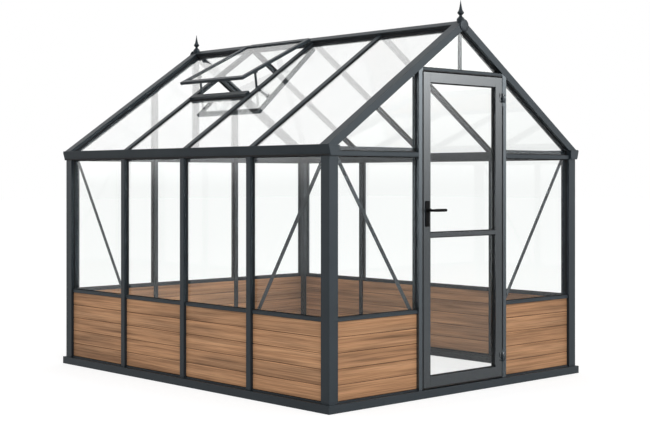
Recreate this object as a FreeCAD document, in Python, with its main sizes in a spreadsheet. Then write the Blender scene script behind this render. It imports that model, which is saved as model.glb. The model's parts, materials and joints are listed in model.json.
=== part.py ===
import FreeCAD, Part
import os
import Sketcher

# Metal greenhouse with boarded lower walls, a hinged door and one roof vent.
# Frame: +Z up, origin on the ground at the middle of the overall box, door gable towards -Y, units are millimetres.

SIZES = {
    # plan and heights
    "frame_width": 2110.0,
    "bay_pitch": 614.0,
    "bay_count": 4,
    "post_size": 64.0,
    "plinth_height": 45.0,
    "plinth_overhang": 15.0,
    "plinth_wall": 3.0,
    "corner_key_arm": 100.0,
    "corner_key_width": 24.0,
    "eave_height": 1338.0,
    "fascia_height": 59.0,
    "fascia_wall": 3.0,
    "fascia_lean": 12.0,
    "gutter_width": 13.0,
    "gutter_gap": 2.0,
    "roof_line_rise": 55.0,
    "roof_pitch": 34.3,
    "rafter_depth": 44.0,
    "ridge_web": 10.0,
    # glazing bars and panes
    "bar_width": 40.0,
    "bar_inner_width": 30.0,
    "bar_depth": 40.0,
    "roof_bar_drop": 16.0,
    "profile_wall": 2.0,
    "edge_bevel": 2.0,
    "glazing_setback": 24.0,
    "glass_thickness": 4.0,
    "glazing_clearance": 0.3,
    "groove_depth": 12.0,
    "pane_edge_gap": 2.0,
    "pane_lap": 8.0,
    # lower walls
    "sill_height": 491.0,
    "sill_rail_height": 20.0,
    "bottom_rail_height": 8.0,
    "rail_setback": 10.0,
    "rail_groove": 6.0,
    "board_count": 5,
    "board_thickness": 16.0,
    "board_bevel": 3.0,
    # gables
    "jamb_width": 34.0,
    "stop_width": 12.0,
    "stop_thickness": 13.7,
    "header_height": 20.0,
    "tie_height": 50.0,
    "tie_lip_height": 24.0,
    "king_shoulder": 3.75,
    "brace_width": 28.0,
    "brace_thickness": 4.0,
    "brace_tab": 16.0,
    "brace_head_lap": 10.0,
    # ridge ends and finials
    "ridge_cap_thickness": 6.0,
    "ridge_cap_radius": 36.0,
    "finial_inset": 26.0,
    "finial_height": 118.0,
    "finial_base_radius": 23.0,
    "finial_neck_radius": 8.0,
    "finial_bulb_radius": 19.0,
    "finial_spike_radius": 12.0,
    "finial_tip_radius": 1.0,
    # door
    "door_width": 676.0,
    "door_gap": 5.0,
    "door_depth": 38.0,
    "stile_width": 56.0,
    "stile_wall": 2.5,
    "door_top_rail": 56.0,
    "door_mid_rail": 24.0,
    "door_mid_rail_level": 903.0,
    "door_bottom_rail": 64.0,
    # door hinges
    "hinge_edge_distance": 118.0,
    "hinge_height": 54.0,
    "hinge_leaf_length": 26.0,
    "hinge_leaf_thickness": 2.5,
    "hinge_knuckle_radius": 6.0,
    "hinge_pin_radius": 3.0,
    "running_clearance": 0.05,
    # lever handle and latch
    "handle_level": 1041.0,
    "plate_height": 144.0,
    "plate_width": 29.0,
    "plate_thickness": 6.0,
    "plate_above_lever": 53.0,
    "lever_length": 130.0,
    "lever_height": 18.0,
    "lever_thickness": 10.0,
    "lever_reach": 46.0,
    "lever_neck_radius": 7.5,
    "spindle_side": 8.0,
    "spindle_reach": 25.0,
    "latch_thickness": 12.0,
    "latch_height": 16.0,
    "latch_length": 21.0,
    "latch_in_jamb": 8.0,
    "latch_bevel": 7.0,
    "latch_case_wall": 4.0,
    "latch_case_length": 18.5,
    "strike_thickness": 2.0,
    "strike_height": 80.0,
    "strike_margin": 9.0,
    # roof vent
    "vent_bay": 3,
    "vent_open": 8.0,
    "vent_overlap": 10.0,
    "vent_length": 640.0,
    "vent_rail_width": 31.0,
    "vent_rail_thickness": 18.0,
    "vent_underside_gap": 0.5,
    "vent_hinge_distance": 30.0,
    "vent_bead_radius": 5.0,
    "vent_neck_thickness": 3.0,
    "vent_neck_length": 14.0,
    "vent_channel_wall": 2.95,
    "vent_slot_below": 24.0,
    "vent_slot_above": 40.0,
    "cill_width": 36.0,
    "cill_gap": 2.0,
    "cill_depth": 38.0,
    "stay_pivot_distance": 500.0,
    "stay_pivot_drop": 15.0,
    "stay_lug_thickness": 4.0,
    "stay_width": 16.0,
    "stay_thickness": 4.0,
    "stay_length": 205.0,
    "stay_tilt": 7.0,
    "stay_pin_radius": 3.0,
    "stay_knob_length": 16.0,
    "keeper_distance": 572.0,
    "keeper_side": 20.0,
}

doc = FreeCAD.newDocument("Greenhouse")
sheet = doc.addObject("Spreadsheet::Sheet", "Size")
for row, (alias, size) in enumerate(SIZES.items(), start=1):
    sheet.set("A%d" % row, alias)
    sheet.set("B%d" % row, str(size))
    sheet.setAlias("B%d" % row, alias)
doc.recompute()

# Shared expressions: plan
BAYS = "round(Size.bay_count)"
HALF_WIDTH = "(Size.frame_width / 2)"
HALF_LENGTH = f"({BAYS} * Size.bay_pitch / 2 - Size.bar_width / 2 + Size.post_size)"
PLINTH_WIDTH = "(Size.plinth_overhang + Size.post_size)"
# The outer lever reaches further forward than the plinth does at the back, so the plan stands this far back
PLAN_SHIFT = "((Size.lever_reach - Size.plinth_overhang) / 2)"
BAY_CLEAR = "(Size.bay_pitch - Size.bar_width)"
FIRST_BAR = f"(-Size.bay_pitch * ({BAYS} / 2 - 1))"
BAR_SPAN = f"(Size.bay_pitch * ({BAYS} - 2))"
FIRST_BAY = f"(-Size.bay_pitch * ({BAYS} - 1) / 2)"
BAY_SPAN = f"(Size.bay_pitch * ({BAYS} - 1))"
OPENING_HALF = "(Size.door_width / 2 + Size.door_gap)"
JAMB_OUTER = f"({OPENING_HALF} + Size.jamb_width)"
POST_INNER = f"({HALF_WIDTH} - Size.post_size)"
GABLE_SIDE_CLEAR = f"({POST_INNER} - {JAMB_OUTER})"
GABLE_SIDE_MIDDLE = f"(({POST_INNER} + {JAMB_OUTER}) / 2)"
BACK_BAR = f"({JAMB_OUTER} - Size.bar_width / 2)"
BACK_MIDDLE_CLEAR = f"(2 * {BACK_BAR} - Size.bar_width)"

# Shared expressions: roof
TAN = "tan(Size.roof_pitch)"
COS = "cos(Size.roof_pitch)"
SIN = "sin(Size.roof_pitch)"
APEX = f"(Size.eave_height + Size.roof_line_rise + ({HALF_WIDTH} + Size.plinth_overhang) * {TAN})"
RIDGE_FACE = f"(Size.rafter_depth * {TAN} + Size.ridge_web)"
RIDGE_DROP = f"({RIDGE_FACE} * {SIN} + Size.rafter_depth * {COS})"
RAFTER_FOOT = f"(({HALF_WIDTH} + Size.plinth_overhang - Size.fascia_wall - Size.gutter_gap) / {COS})"

# Shared expressions: glazing, measured in from the outer face
GROOVE_FRONT = "Size.glazing_setback"
GROOVE_BACK = "(Size.glazing_setback + Size.glass_thickness + 2 * Size.glazing_clearance)"
PANE_FRONT = "(Size.glazing_setback + Size.glazing_clearance)"
PANE_BACK = "(Size.glazing_setback + Size.glazing_clearance + Size.glass_thickness)"
PANE_BITE = "(Size.groove_depth - Size.pane_edge_gap)"
RAIL_BITE = "(Size.rail_groove - Size.pane_edge_gap)"

# Shared expressions: lower walls
SILL_BOTTOM = "(Size.sill_height - Size.sill_rail_height)"
BOARDS_BOTTOM = "(Size.plinth_height + Size.bottom_rail_height)"
BOARD_COUNT = "round(Size.board_count)"
BOARD_PITCH = f"(({SILL_BOTTOM} - {BOARDS_BOTTOM}) / {BOARD_COUNT})"
BOARD_HEIGHT = f"({BOARD_PITCH} - Size.glazing_clearance)"
BOARD_MIDDLE = "(Size.glazing_setback + Size.glazing_clearance + Size.glass_thickness / 2)"
TIE_TOP = "(Size.eave_height + Size.tie_height)"
TIE_LIP_TOP = "(Size.eave_height + Size.tie_lip_height)"
WALL_PANE_LOW = f"(Size.sill_height - {RAIL_BITE})"
WALL_PANE_HIGH = "(Size.eave_height - Size.glazing_clearance)"
GABLE_PANE_LOW = f"({TIE_LIP_TOP} - {RAIL_BITE})"


def underside(distance):
    """Height of the rafters' lower face at a distance from the ridge line."""
    return f"({APEX} - ({distance}) * {TAN} - Size.rafter_depth / {COS})"


def pane_top(distance):
    """Height of a gable pane's top edge, held in the rafters' lower groove."""
    return f"({underside(distance)} + {PANE_BITE} / {COS})"


# Shared expressions: door
HEADER_TOP = f"({underside(OPENING_HALF)} - Size.glazing_clearance)"
HEADER_BOTTOM = f"({HEADER_TOP} - Size.header_height)"
STOP_FRONT = "(Size.door_depth + Size.glazing_clearance)"
STOP_BACK = f"({STOP_FRONT} + Size.stop_thickness)"
DOOR_TOP = f"({HEADER_BOTTOM} - Size.door_gap)"
DOOR_BOTTOM = "(Size.plinth_height + Size.door_gap)"
DOOR_HEIGHT = f"({DOOR_TOP} - {DOOR_BOTTOM})"
DOOR_CLEAR = "(Size.door_width - 2 * Size.stile_width)"
DOOR_MIDDLE = "(Size.door_depth / 2)"
DOOR_GROOVE_FRONT = f"({DOOR_MIDDLE} - Size.glass_thickness / 2 - Size.glazing_clearance)"
DOOR_GROOVE_BACK = f"({DOOR_MIDDLE} + Size.glass_thickness / 2 + Size.glazing_clearance)"
STILE_MIDDLE = "(Size.door_width / 2 - Size.stile_width / 2)"
TOP_RAIL_LOW = f"({DOOR_TOP} - Size.door_top_rail)"
MID_RAIL_LOW = "(Size.door_mid_rail_level - Size.door_mid_rail / 2)"
MID_RAIL_HIGH = "(Size.door_mid_rail_level + Size.door_mid_rail / 2)"
BOTTOM_RAIL_HIGH = f"({DOOR_BOTTOM} + Size.door_bottom_rail)"
HINGE_LINE = "(Size.door_width / 2 + Size.door_gap / 2)"
LOW_HINGE = f"({DOOR_BOTTOM} + Size.hinge_edge_distance)"
HINGE_SPAN = f"({DOOR_HEIGHT} - 2 * Size.hinge_edge_distance)"
LATCH_TIP = f"({OPENING_HALF} + Size.latch_in_jamb)"
LATCH_TAIL = f"({LATCH_TIP} - Size.latch_length)"

# Shared expressions: roof vent, in the frame of its hinge axis, which stands just above the roof plane
CHANNEL_RADIUS = "(Size.vent_bead_radius + Size.running_clearance + Size.vent_channel_wall)"
VENT_LOW = f"(Size.vent_underside_gap - {CHANNEL_RADIUS})"
VENT_HIGH = f"({VENT_LOW} + Size.vent_rail_thickness)"
VENT_HALF = "(Size.bay_pitch / 2 + Size.vent_overlap)"
VENT_MIDDLE = f"(Size.bay_pitch * (round(Size.vent_bay) - {BAYS} / 2 - 0.5))"
VENT_SIDE_INNER = f"({VENT_HALF} - Size.vent_rail_width)"
VENT_TOP_INNER = "(Size.vent_neck_length + Size.vent_rail_width)"
VENT_BOTTOM_INNER = "(Size.vent_length - Size.vent_rail_width)"
VENT_GLASS_LOW = f"(({VENT_LOW} + {VENT_HIGH} - Size.glass_thickness) / 2)"
VENT_GLASS_HIGH = f"({VENT_GLASS_LOW} + Size.glass_thickness)"
VENT_SLOPE = "(Size.roof_pitch - Size.vent_open)"
VENT_AXIS_X = f"(-Size.vent_hinge_distance * {COS} - {CHANNEL_RADIUS} * {SIN})"
VENT_AXIS_Z = f"({APEX} - Size.vent_hinge_distance * {SIN} + {CHANNEL_RADIUS} * {COS})"
CILL_TOP = f"(Size.vent_hinge_distance + {VENT_BOTTOM_INNER})"
CILL_FOOT = f"({CILL_TOP} + Size.cill_width)"
STAY_OUTER = f"({VENT_SIDE_INNER} - Size.stay_lug_thickness - Size.glazing_clearance)"
STAY_INNER = f"({STAY_OUTER} - Size.stay_thickness)"
STAY_PIVOT_X = (
    f"({VENT_AXIS_X} - Size.stay_pivot_distance * cos({VENT_SLOPE}) + Size.stay_pivot_drop * sin({VENT_SLOPE}))"
)
STAY_PIVOT_Z = (
    f"({VENT_AXIS_Z} - Size.stay_pivot_distance * sin({VENT_SLOPE}) - Size.stay_pivot_drop * cos({VENT_SLOPE}))"
)

Z_AXIS = FreeCAD.Vector(0, 0, 1)
ORIGIN = FreeCAD.Vector(0, 0, 0)

# A wall's own frame has x inwards from its outer face, y along it and z up; each wall is a turn of the left one
WALL_TURN = {"left": "0", "front": "90", "right": "180", "back": "270"}
CORNERS = {"front_left": "0", "front_right": "90", "back_right": "180", "back_left": "270"}
# A slope's own frame starts at the apex, with z out of the roof; x runs down the right slope and up the left one
SLOPES = {"left": -1, "right": 1}
# Spans between the uprights of a wall: middle of the first one, clear width, how many, distance to the last one
SIDE_SPANS = [(FIRST_BAY, BAY_CLEAR, BAYS, BAY_SPAN)]
GABLE_SPANS = [(f"-{GABLE_SIDE_MIDDLE}", GABLE_SIDE_CLEAR, "2", f"2 * {GABLE_SIDE_MIDDLE}")]
BACK_SPANS = GABLE_SPANS + [("0", BACK_MIDDLE_CLEAR, "1", "0")]
WALL_SPANS = {"left": SIDE_SPANS, "right": SIDE_SPANS, "front": GABLE_SPANS, "back": BACK_SPANS}

nodes = {}


def value(expression):
    """Number that an expression over the sheet has now."""
    result = sheet.evalExpression(expression)
    return float(getattr(result, "Value", result))


def place(obj, x="0", y="0", z="0", axis=Z_AXIS, turn="0"):
    """Put an object at a place in the plan and a turn that follow the sheet."""
    obj.Placement = FreeCAD.Placement(ORIGIN, FreeCAD.Rotation(axis, value(turn)))
    obj.setExpression("Placement.Base.x", x)
    obj.setExpression("Placement.Base.y", f"{y} + {PLAN_SHIFT}")
    obj.setExpression("Placement.Base.z", z)
    if turn != "0":
        obj.setExpression("Placement.Rotation.Angle", turn)
    return obj


def place_on_wall(obj, wall):
    """Put an object in a wall's own frame."""
    where = {
        "left": (f"-{HALF_WIDTH}", "0"),
        "front": ("0", f"-{HALF_LENGTH}"),
        "right": (HALF_WIDTH, "0"),
        "back": ("0", HALF_LENGTH),
    }
    return place(obj, *where[wall], "0", Z_AXIS, WALL_TURN[wall])


def place_on_corner(obj, corner):
    """Put an object in a corner's own frame, whose x and y run inwards from the frame's outer faces."""
    x = f"-{HALF_WIDTH}" if corner.endswith("left") else HALF_WIDTH
    y = f"-{HALF_LENGTH}" if corner.startswith("front") else HALF_LENGTH
    return place(obj, x, y, "0", Z_AXIS, CORNERS[corner])


def place_on_roof(obj, side):
    """Put an object in a slope's own frame."""
    return place(obj, "0", "0", APEX, FreeCAD.Vector(0, SLOPES[side], 0), "Size.roof_pitch")


def place_on_vent(obj):
    """Put an object in the open vent's frame, whose origin is the hinge axis and whose -x runs down the vent."""
    return place(obj, VENT_AXIS_X, VENT_MIDDLE, VENT_AXIS_Z, FreeCAD.Vector(0, -1, 0), VENT_SLOPE)


def new_body(name):
    """Empty body of that name."""
    return doc.addObject("PartDesign::Body", name)


def origin_feature(body, role):
    """Plane or axis of a body's own origin."""
    return [feature for feature in body.Origin.OriginFeatures if feature.Role == role][0]


def add_outline(sketch, corners):
    """Closed outline of straight lines through corners given as pairs of expressions."""
    points = [FreeCAD.Vector(value(u), value(v), 0) for u, v in corners]
    count = len(corners)
    first = sketch.GeometryCount
    for index in range(count):
        sketch.addGeometry(Part.LineSegment(points[index], points[(index + 1) % count]))
    for index in range(count):
        following = first + (index + 1) % count
        sketch.addConstraint(Sketcher.Constraint("Coincident", first + index, 2, following, 1))
    for index, pair in enumerate(corners):
        for kind, expression in zip(("DistanceX", "DistanceY"), pair):
            datum = Sketcher.Constraint(kind, -1, 1, first + index, 1, value(expression))
            sketch.setExpression("Constraints[%d]" % sketch.addConstraint(datum), expression)


def add_circle(sketch, u, v, radius):
    """Circle about a point given as expressions."""
    centre = FreeCAD.Vector(value(u), value(v), 0)
    circle = sketch.addGeometry(Part.Circle(centre, Z_AXIS, value(radius)))
    for kind, expression in (("DistanceX", u), ("DistanceY", v)):
        datum = Sketcher.Constraint(kind, -1, 1, circle, 3, value(expression))
        sketch.setExpression("Constraints[%d]" % sketch.addConstraint(datum), expression)
    datum = Sketcher.Constraint("Radius", circle, value(radius))
    sketch.setExpression("Constraints[%d]" % sketch.addConstraint(datum), radius)


def add_sketch(body, plane, at, outlines, circles):
    """Sketch parallel to one of the body's planes, at a distance along that plane's axis."""
    sketch = body.newObject("Sketcher::SketchObject", "Sketch")
    sketch.AttachmentSupport = [(origin_feature(body, plane), "")]
    sketch.MapMode = "FlatFace"
    if at != "0":
        shift = f"-({at})" if plane == "XZ_Plane" else at
        sketch.setExpression("AttachmentOffset.Base.z", shift)
    for corners in outlines:
        add_outline(sketch, corners)
    for circle in circles:
        add_circle(sketch, *circle)
    return sketch


def pad(body, plane, outlines, length, at="0", both_sides=False, circles=()):
    """Raise outlines and circles from a place along the plane's axis, or evenly about that place."""
    feature = body.newObject("PartDesign::Pad", "Pad")
    feature.Profile = add_sketch(body, plane, at, outlines, circles)
    feature.SideType = "Symmetric" if both_sides else "One side"
    feature.Reversed = plane == "XZ_Plane" and not both_sides
    feature.setExpression("Length", length)
    body.Tip = feature
    return feature


def pocket(body, plane, outlines, length=None, at="0", circles=()):
    """Cut outlines and circles out of a body, from a place along the plane's axis or right through."""
    feature = body.newObject("PartDesign::Pocket", "Pocket")
    feature.Profile = add_sketch(body, plane, at, outlines, circles)
    if length is None:
        feature.SideType = "Symmetric"
        feature.setExpression("Length", "4 * Size.frame_width")
    else:
        feature.Reversed = plane != "XZ_Plane"
        feature.setExpression("Length", length)
    body.Tip = feature
    return feature


def repeat(body, features, axis, span, count):
    """Repeat features along one axis, over a span from the first to the last."""
    pattern = body.newObject("PartDesign::LinearPattern", "Pattern")
    pattern.Originals = features
    pattern.Direction = (origin_feature(body, axis), [""])
    pattern.setExpression("Length", span)
    pattern.setExpression("Occurrences", count)
    body.Tip = pattern
    return pattern


def copy_of(template, name):
    """Linked copy of a template body, placed by itself."""
    link = doc.addObject("App::Link", name)
    link.LinkedObject = template
    return link


def add_node(label, obj):
    """Register an object as the sub-part of that name."""
    obj.Label = label
    nodes[label] = obj


def add_group(label, pieces):
    """Register several separate pieces as one sub-part."""
    group = doc.addObject("Part::Compound", label + "_group")
    group.Links = pieces
    add_node(label, group)


def rectangle(low_u, high_u, low_v, high_v):
    """Corners of a rectangle."""
    return [(low_u, low_v), (high_u, low_v), (high_u, high_v), (low_u, high_v)]


def about(middle, half):
    """Low and high ends of a range about its middle."""
    return f"{middle} - {half}", f"{middle} + {half}"


def mirrored(corners):
    """The same outline on the other side of the second axis."""
    return [(f"-({u})", v) for u, v in corners]


def swapped(corners):
    """The same outline with its two directions exchanged."""
    return [(v, u) for u, v in corners]


def fit(clear):
    """Length of a piece that stands loosely between two faces."""
    return f"({clear} - 2 * Size.glazing_clearance)"


def with_pane(clear):
    """Width of a pane or plate held in the grooves on both sides of a span."""
    return f"({clear} + 2 * {PANE_BITE})"


# Profiles


def bar_profile(front="0", back="Size.bar_depth"):
    """Glazing bar in section: wide outer box, neck between the two glazing grooves, narrower inner flange."""
    half = "Size.bar_width / 2"
    inner = "Size.bar_inner_width / 2"
    neck = "(Size.bar_width / 2 - Size.groove_depth)"
    right = [
        (front, f"{half} - Size.edge_bevel"),
        (f"{front} + Size.edge_bevel", half),
        (GROOVE_FRONT, half),
        (GROOVE_FRONT, neck),
        (GROOVE_BACK, neck),
        (GROOVE_BACK, inner),
        (back, inner),
    ]
    left = [(u, f"-({v})") for u, v in right]
    return left + right[::-1]


def bar_hollow():
    """Hollow of the bar's outer box."""
    side = "(Size.bar_width / 2 - Size.profile_wall)"
    return rectangle("Size.profile_wall", f"{GROOVE_FRONT} - Size.profile_wall", f"-{side}", side)


def grooved_rail(low, high, front, back, groove_front, groove_back, top_groove, low_groove):
    """Rail in section, with a pane groove in its top, in its underside or in both."""
    corners = [(front, low)]
    if low_groove:
        floor = f"{low} + Size.rail_groove"
        corners += [(groove_front, low), (groove_front, floor), (groove_back, floor), (groove_back, low)]
    corners += [(back, low), (back, high)]
    if top_groove:
        floor = f"{high} - Size.rail_groove"
        corners += [(groove_back, high), (groove_back, floor), (groove_front, floor), (groove_front, high)]
    return corners + [(front, high)]


# Ground frame


def plinth_rail(wall, half_length):
    """Hollow ground rail with mitred ends."""
    body = new_body("plinth_" + wall)
    outer, inner, skin = "-Size.plinth_overhang", "Size.post_size", "Size.plinth_wall"
    section = rectangle(outer, inner, "0", "Size.plinth_height")
    hollow = rectangle(f"{outer} + {skin}", f"{inner} - {skin}", skin, f"Size.plinth_height - {skin}")
    end = f"({half_length} + Size.plinth_overhang)"
    pad(body, "XZ_Plane", [section, hollow], f"2 * {end}", both_sides=True)
    margin = "Size.plinth_overhang"
    mitre = [
        (f"{outer} - {margin}", f"{end} + {margin}"),
        (f"{inner} + {margin}", f"{end} + {margin}"),
        (f"{inner} + {margin}", f"{end} - {PLINTH_WIDTH} - {margin}"),
    ]
    other = [(u, f"-({v})") for u, v in mitre]
    pocket(body, "XY_Plane", [mitre, other])
    add_node("plinth_" + wall, place_on_wall(body, wall))


def plinth_corner_keys():
    """Angle keys that hold the plinth rails together inside their mitres."""
    template = new_body("corner_key_template")
    arm, width = "Size.corner_key_arm", "Size.corner_key_width"
    corners = [("0", "0"), (arm, "0"), (arm, width), (width, width), (width, arm), ("0", arm)]
    height = "Size.plinth_height - 2 * Size.plinth_wall - Size.glazing_clearance"
    pad(template, "XY_Plane", [corners], height, at="Size.plinth_wall")
    keys = [place_on_corner(copy_of(template, "key_" + corner), corner) for corner in CORNERS]
    add_group("plinth_corner_keys", keys)


def ground_frame():
    """Plinth rails and their keys."""
    plinth_rail("left", HALF_LENGTH)
    plinth_rail("right", HALF_LENGTH)
    plinth_rail("front", HALF_WIDTH)
    plinth_rail("back", HALF_WIDTH)
    plinth_corner_keys()


# Posts and bars


def corner_posts():
    """Hollow square posts with a glazing groove towards each wall."""
    template = new_body("corner_post_template")
    side = "Size.post_size"
    floor = "(Size.post_size - Size.groove_depth)"
    half = [
        ("Size.edge_bevel", "0"),
        (side, "0"),
        (side, GROOVE_FRONT),
        (floor, GROOVE_FRONT),
        (floor, GROOVE_BACK),
        (side, GROOVE_BACK),
    ]
    outline = half + [(side, side)] + swapped(half)[::-1]
    low, high = "Size.profile_wall", f"{floor} - Size.profile_wall"
    hollow = rectangle(low, high, low, high)
    height = "Size.eave_height - Size.plinth_height"
    pad(template, "XY_Plane", [outline, hollow], height, at="Size.plinth_height")
    posts = [place_on_corner(copy_of(template, "post_" + corner), corner) for corner in CORNERS]
    add_group("corner_posts", posts)


def shifted(corners, along):
    """The same outline moved along a wall."""
    return [(u, f"({along}) + ({v})") for u, v in corners]


def side_wall_bars(wall):
    """Glazing bars of a side wall, one between each two bays."""
    body = new_body(wall + "_wall_bars")
    outlines = [shifted(bar_profile(), FIRST_BAR), shifted(bar_hollow(), FIRST_BAR)]
    bar = pad(body, "XY_Plane", outlines, "Size.eave_height - Size.plinth_height", at="Size.plinth_height")
    repeat(body, [bar], "Y_Axis", BAR_SPAN, f"{BAYS} - 1")
    add_node(wall + "_wall_bars", place_on_wall(body, wall))


def slope_wedge(near, far):
    """Outline above the rafters' lower face, between two distances from the ridge line."""
    return [(far, underside(far)), (near, underside(near)), (far, underside(near))]


def back_bar(name, sign):
    """One bar of the back gable, cut to the slope."""
    bar = new_body("back_bar_" + name)
    near, far = about(BACK_BAR, "Size.bar_width / 2")
    outlines = [shifted(bar_profile(), f"{sign} * {BACK_BAR}"), shifted(bar_hollow(), f"{sign} * {BACK_BAR}")]
    pad(bar, "XY_Plane", outlines, f"{underside(near)} - Size.plinth_height", at="Size.plinth_height")
    wedge = slope_wedge(near, far)
    pocket(bar, "YZ_Plane", [wedge if sign > 0 else mirrored(wedge)])
    return place_on_wall(bar, "back")


def king_post():
    """Short upright between the back tie and the ridge."""
    king = new_body("king_post")
    top = underside("Size.bar_width / 2")
    pad(king, "XY_Plane", [bar_profile(), bar_hollow()], f"{top} - {TIE_TOP}", at=TIE_TOP)
    return place_on_wall(king, "back")


def door_jamb(label, sign):
    """Door jamb: pane groove on the wall side, stop lip on the door side, top cut to the slope."""
    body = new_body(label)
    inner, outer, skin = OPENING_HALF, JAMB_OUTER, "Size.profile_wall"
    floor = f"({JAMB_OUTER} - Size.groove_depth)"
    section = [
        ("0", inner),
        (STOP_BACK, inner),
        (STOP_BACK, outer),
        (GROOVE_BACK, outer),
        (GROOVE_BACK, floor),
        (GROOVE_FRONT, floor),
        (GROOVE_FRONT, outer),
        ("0", outer),
    ]
    hollow = rectangle(skin, f"{GROOVE_FRONT} - {skin}", f"{inner} + {skin}", f"{outer} - {skin}")
    lip = rectangle(STOP_FRONT, STOP_BACK, f"{inner} - Size.stop_width", f"{inner} + {skin}")
    flip = [[(u, f"{sign} * ({v})") for u, v in outline] for outline in (section, hollow, lip)]
    base = "Size.plinth_height"
    pad(body, "XY_Plane", flip[:2], f"{underside(inner)} - {base}", at=base)
    lip_top = f"({HEADER_BOTTOM} - Size.stop_width - Size.glazing_clearance)"
    pad(body, "XY_Plane", flip[2:], f"{lip_top} - {base}", at=base)
    wedge = slope_wedge(inner, outer)
    pocket(body, "YZ_Plane", [wedge if sign > 0 else mirrored(wedge)])
    if sign > 0:
        bolt_room = "(Size.latch_in_jamb + Size.pane_edge_gap)"
        pocket(body, "XZ_Plane", [bolt_hole("2 * Size.glazing_clearance")], bolt_room, at=inner)
    add_node(label, place_on_wall(body, "front"))


def door_header():
    """Rail over the door between the jambs, with a stop lip below and a pane groove above."""
    body = new_body("door_header")
    groove_floor = f"{HEADER_TOP} - Size.rail_groove"
    section = [
        ("0", HEADER_BOTTOM),
        (STOP_FRONT, HEADER_BOTTOM),
        (STOP_FRONT, f"{HEADER_BOTTOM} - Size.stop_width"),
        (STOP_BACK, f"{HEADER_BOTTOM} - Size.stop_width"),
        (STOP_BACK, HEADER_TOP),
        (GROOVE_BACK, HEADER_TOP),
        (GROOVE_BACK, groove_floor),
        (GROOVE_FRONT, groove_floor),
        (GROOVE_FRONT, HEADER_TOP),
        ("0", HEADER_TOP),
    ]
    pad(body, "XZ_Plane", [section], fit(f"2 * {OPENING_HALF}"), both_sides=True)
    add_node("door_header", place_on_wall(body, "front"))


def tie_bars(wall):
    """Bars across a gable at the eaves, between its uprights: low lip before the pane, taller flange behind it."""
    body = new_body(wall + "_ties")
    base, back, floor = "Size.eave_height", "Size.bar_depth", f"{TIE_LIP_TOP} - Size.rail_groove"
    section = [
        ("0", base),
        (back, base),
        (back, TIE_TOP),
        (GROOVE_BACK, TIE_TOP),
        (GROOVE_BACK, floor),
        (GROOVE_FRONT, floor),
        (GROOVE_FRONT, TIE_LIP_TOP),
        ("0", TIE_LIP_TOP),
    ]
    for middle, clear, count, span in WALL_SPANS[wall]:
        tie = pad(body, "XZ_Plane", [section], fit(clear), at=middle, both_sides=True)
        if count != "1":
            repeat(body, [tie], "Y_Axis", span, count)
    return place_on_wall(body, wall)


def front_king_post():
    """Narrow upright behind the top pane, from the door header up to the ridge beam and the rafters."""
    king = new_body("front_king_post")
    neck = f"(Size.ridge_web * {COS})"
    edge = f"({neck} + Size.king_shoulder)"
    half = [(edge, HEADER_TOP), (edge, underside(edge)), (neck, f"{APEX} - {RIDGE_DROP}")]
    outline = half + mirrored(half)[::-1]
    pad(king, "YZ_Plane", [outline], f"Size.bar_depth - {GROOVE_BACK}", at=GROOVE_BACK)
    return place_on_wall(king, "front")


def uprights():
    """All standing bars and the rails between them at the top."""
    corner_posts()
    side_wall_bars("left")
    side_wall_bars("right")
    add_group("back_wall_bars", [back_bar("right", 1), back_bar("left", -1), king_post()])
    door_jamb("door_jamb_left", 1)
    door_jamb("door_jamb_right", -1)
    door_header()
    add_group("gable_tie_bars", [tie_bars("front"), tie_bars("back"), front_king_post()])


# Lower walls


def wall_rails(wall):
    """Bottom rails on the plinth and sill rails over the boards."""
    body = new_body(wall + "_wall_rails")
    front, back = "Size.rail_setback", "Size.bar_depth"
    sill = grooved_rail(SILL_BOTTOM, "Size.sill_height", front, back, GROOVE_FRONT, GROOVE_BACK, True, True)
    bottom = rectangle(front, back, "Size.plinth_height", BOARDS_BOTTOM)
    for middle, clear, count, span in WALL_SPANS[wall]:
        rails = pad(body, "XZ_Plane", [sill, bottom], fit(clear), at=middle, both_sides=True)
        if count != "1":
            repeat(body, [rails], "Y_Axis", span, count)
    add_node(wall + "_wall_rails", place_on_wall(body, wall))


def board_section():
    """Board with bevelled edges and a groove along its underside for the tongue of the board below."""
    thin, bevel = "Size.board_thickness / 2", "Size.board_bevel"
    front, back = about(BOARD_MIDDLE, thin)
    low, high = BOARDS_BOTTOM, f"({BOARDS_BOTTOM} + {BOARD_HEIGHT})"
    return [
        (f"{front} + {bevel}", low),
        (GROOVE_FRONT, low),
        (GROOVE_FRONT, f"{low} + Size.rail_groove"),
        (GROOVE_BACK, f"{low} + Size.rail_groove"),
        (GROOVE_BACK, low),
        (f"{back} - {bevel}", low),
        (back, f"{low} + {bevel}"),
        (back, f"{high} - {bevel}"),
        (f"{back} - {bevel}", high),
        (f"{front} + {bevel}", high),
        (front, f"{high} - {bevel}"),
        (front, f"{low} + {bevel}"),
    ]


def wall_boards(wall):
    """Boards stacked by tongue and groove, with end tongues held in the uprights' grooves."""
    body = new_body(wall + "_wall_boards")
    low = f"{BOARDS_BOTTOM} + Size.rail_groove"
    high = f"{BOARDS_BOTTOM} + {BOARD_HEIGHT} + {RAIL_BITE}"
    tongue = rectangle(PANE_FRONT, PANE_BACK, low, high)
    rise = f"({BOARD_COUNT} - 1) * {BOARD_PITCH}"
    for middle, clear, count, span in WALL_SPANS[wall]:
        core = pad(body, "XZ_Plane", [board_section()], fit(clear), at=middle, both_sides=True)
        plate = pad(body, "XZ_Plane", [tongue], with_pane(clear), at=middle, both_sides=True)
        stack = repeat(body, [core, plate], "Z_Axis", rise, BOARD_COUNT)
        if count != "1":
            stack.Direction2 = (origin_feature(body, "Y_Axis"), [""])
            stack.setExpression("Length2", span)
            stack.setExpression("Occurrences2", count)
    add_node(wall + "_wall_boards", place_on_wall(body, wall))


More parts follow.
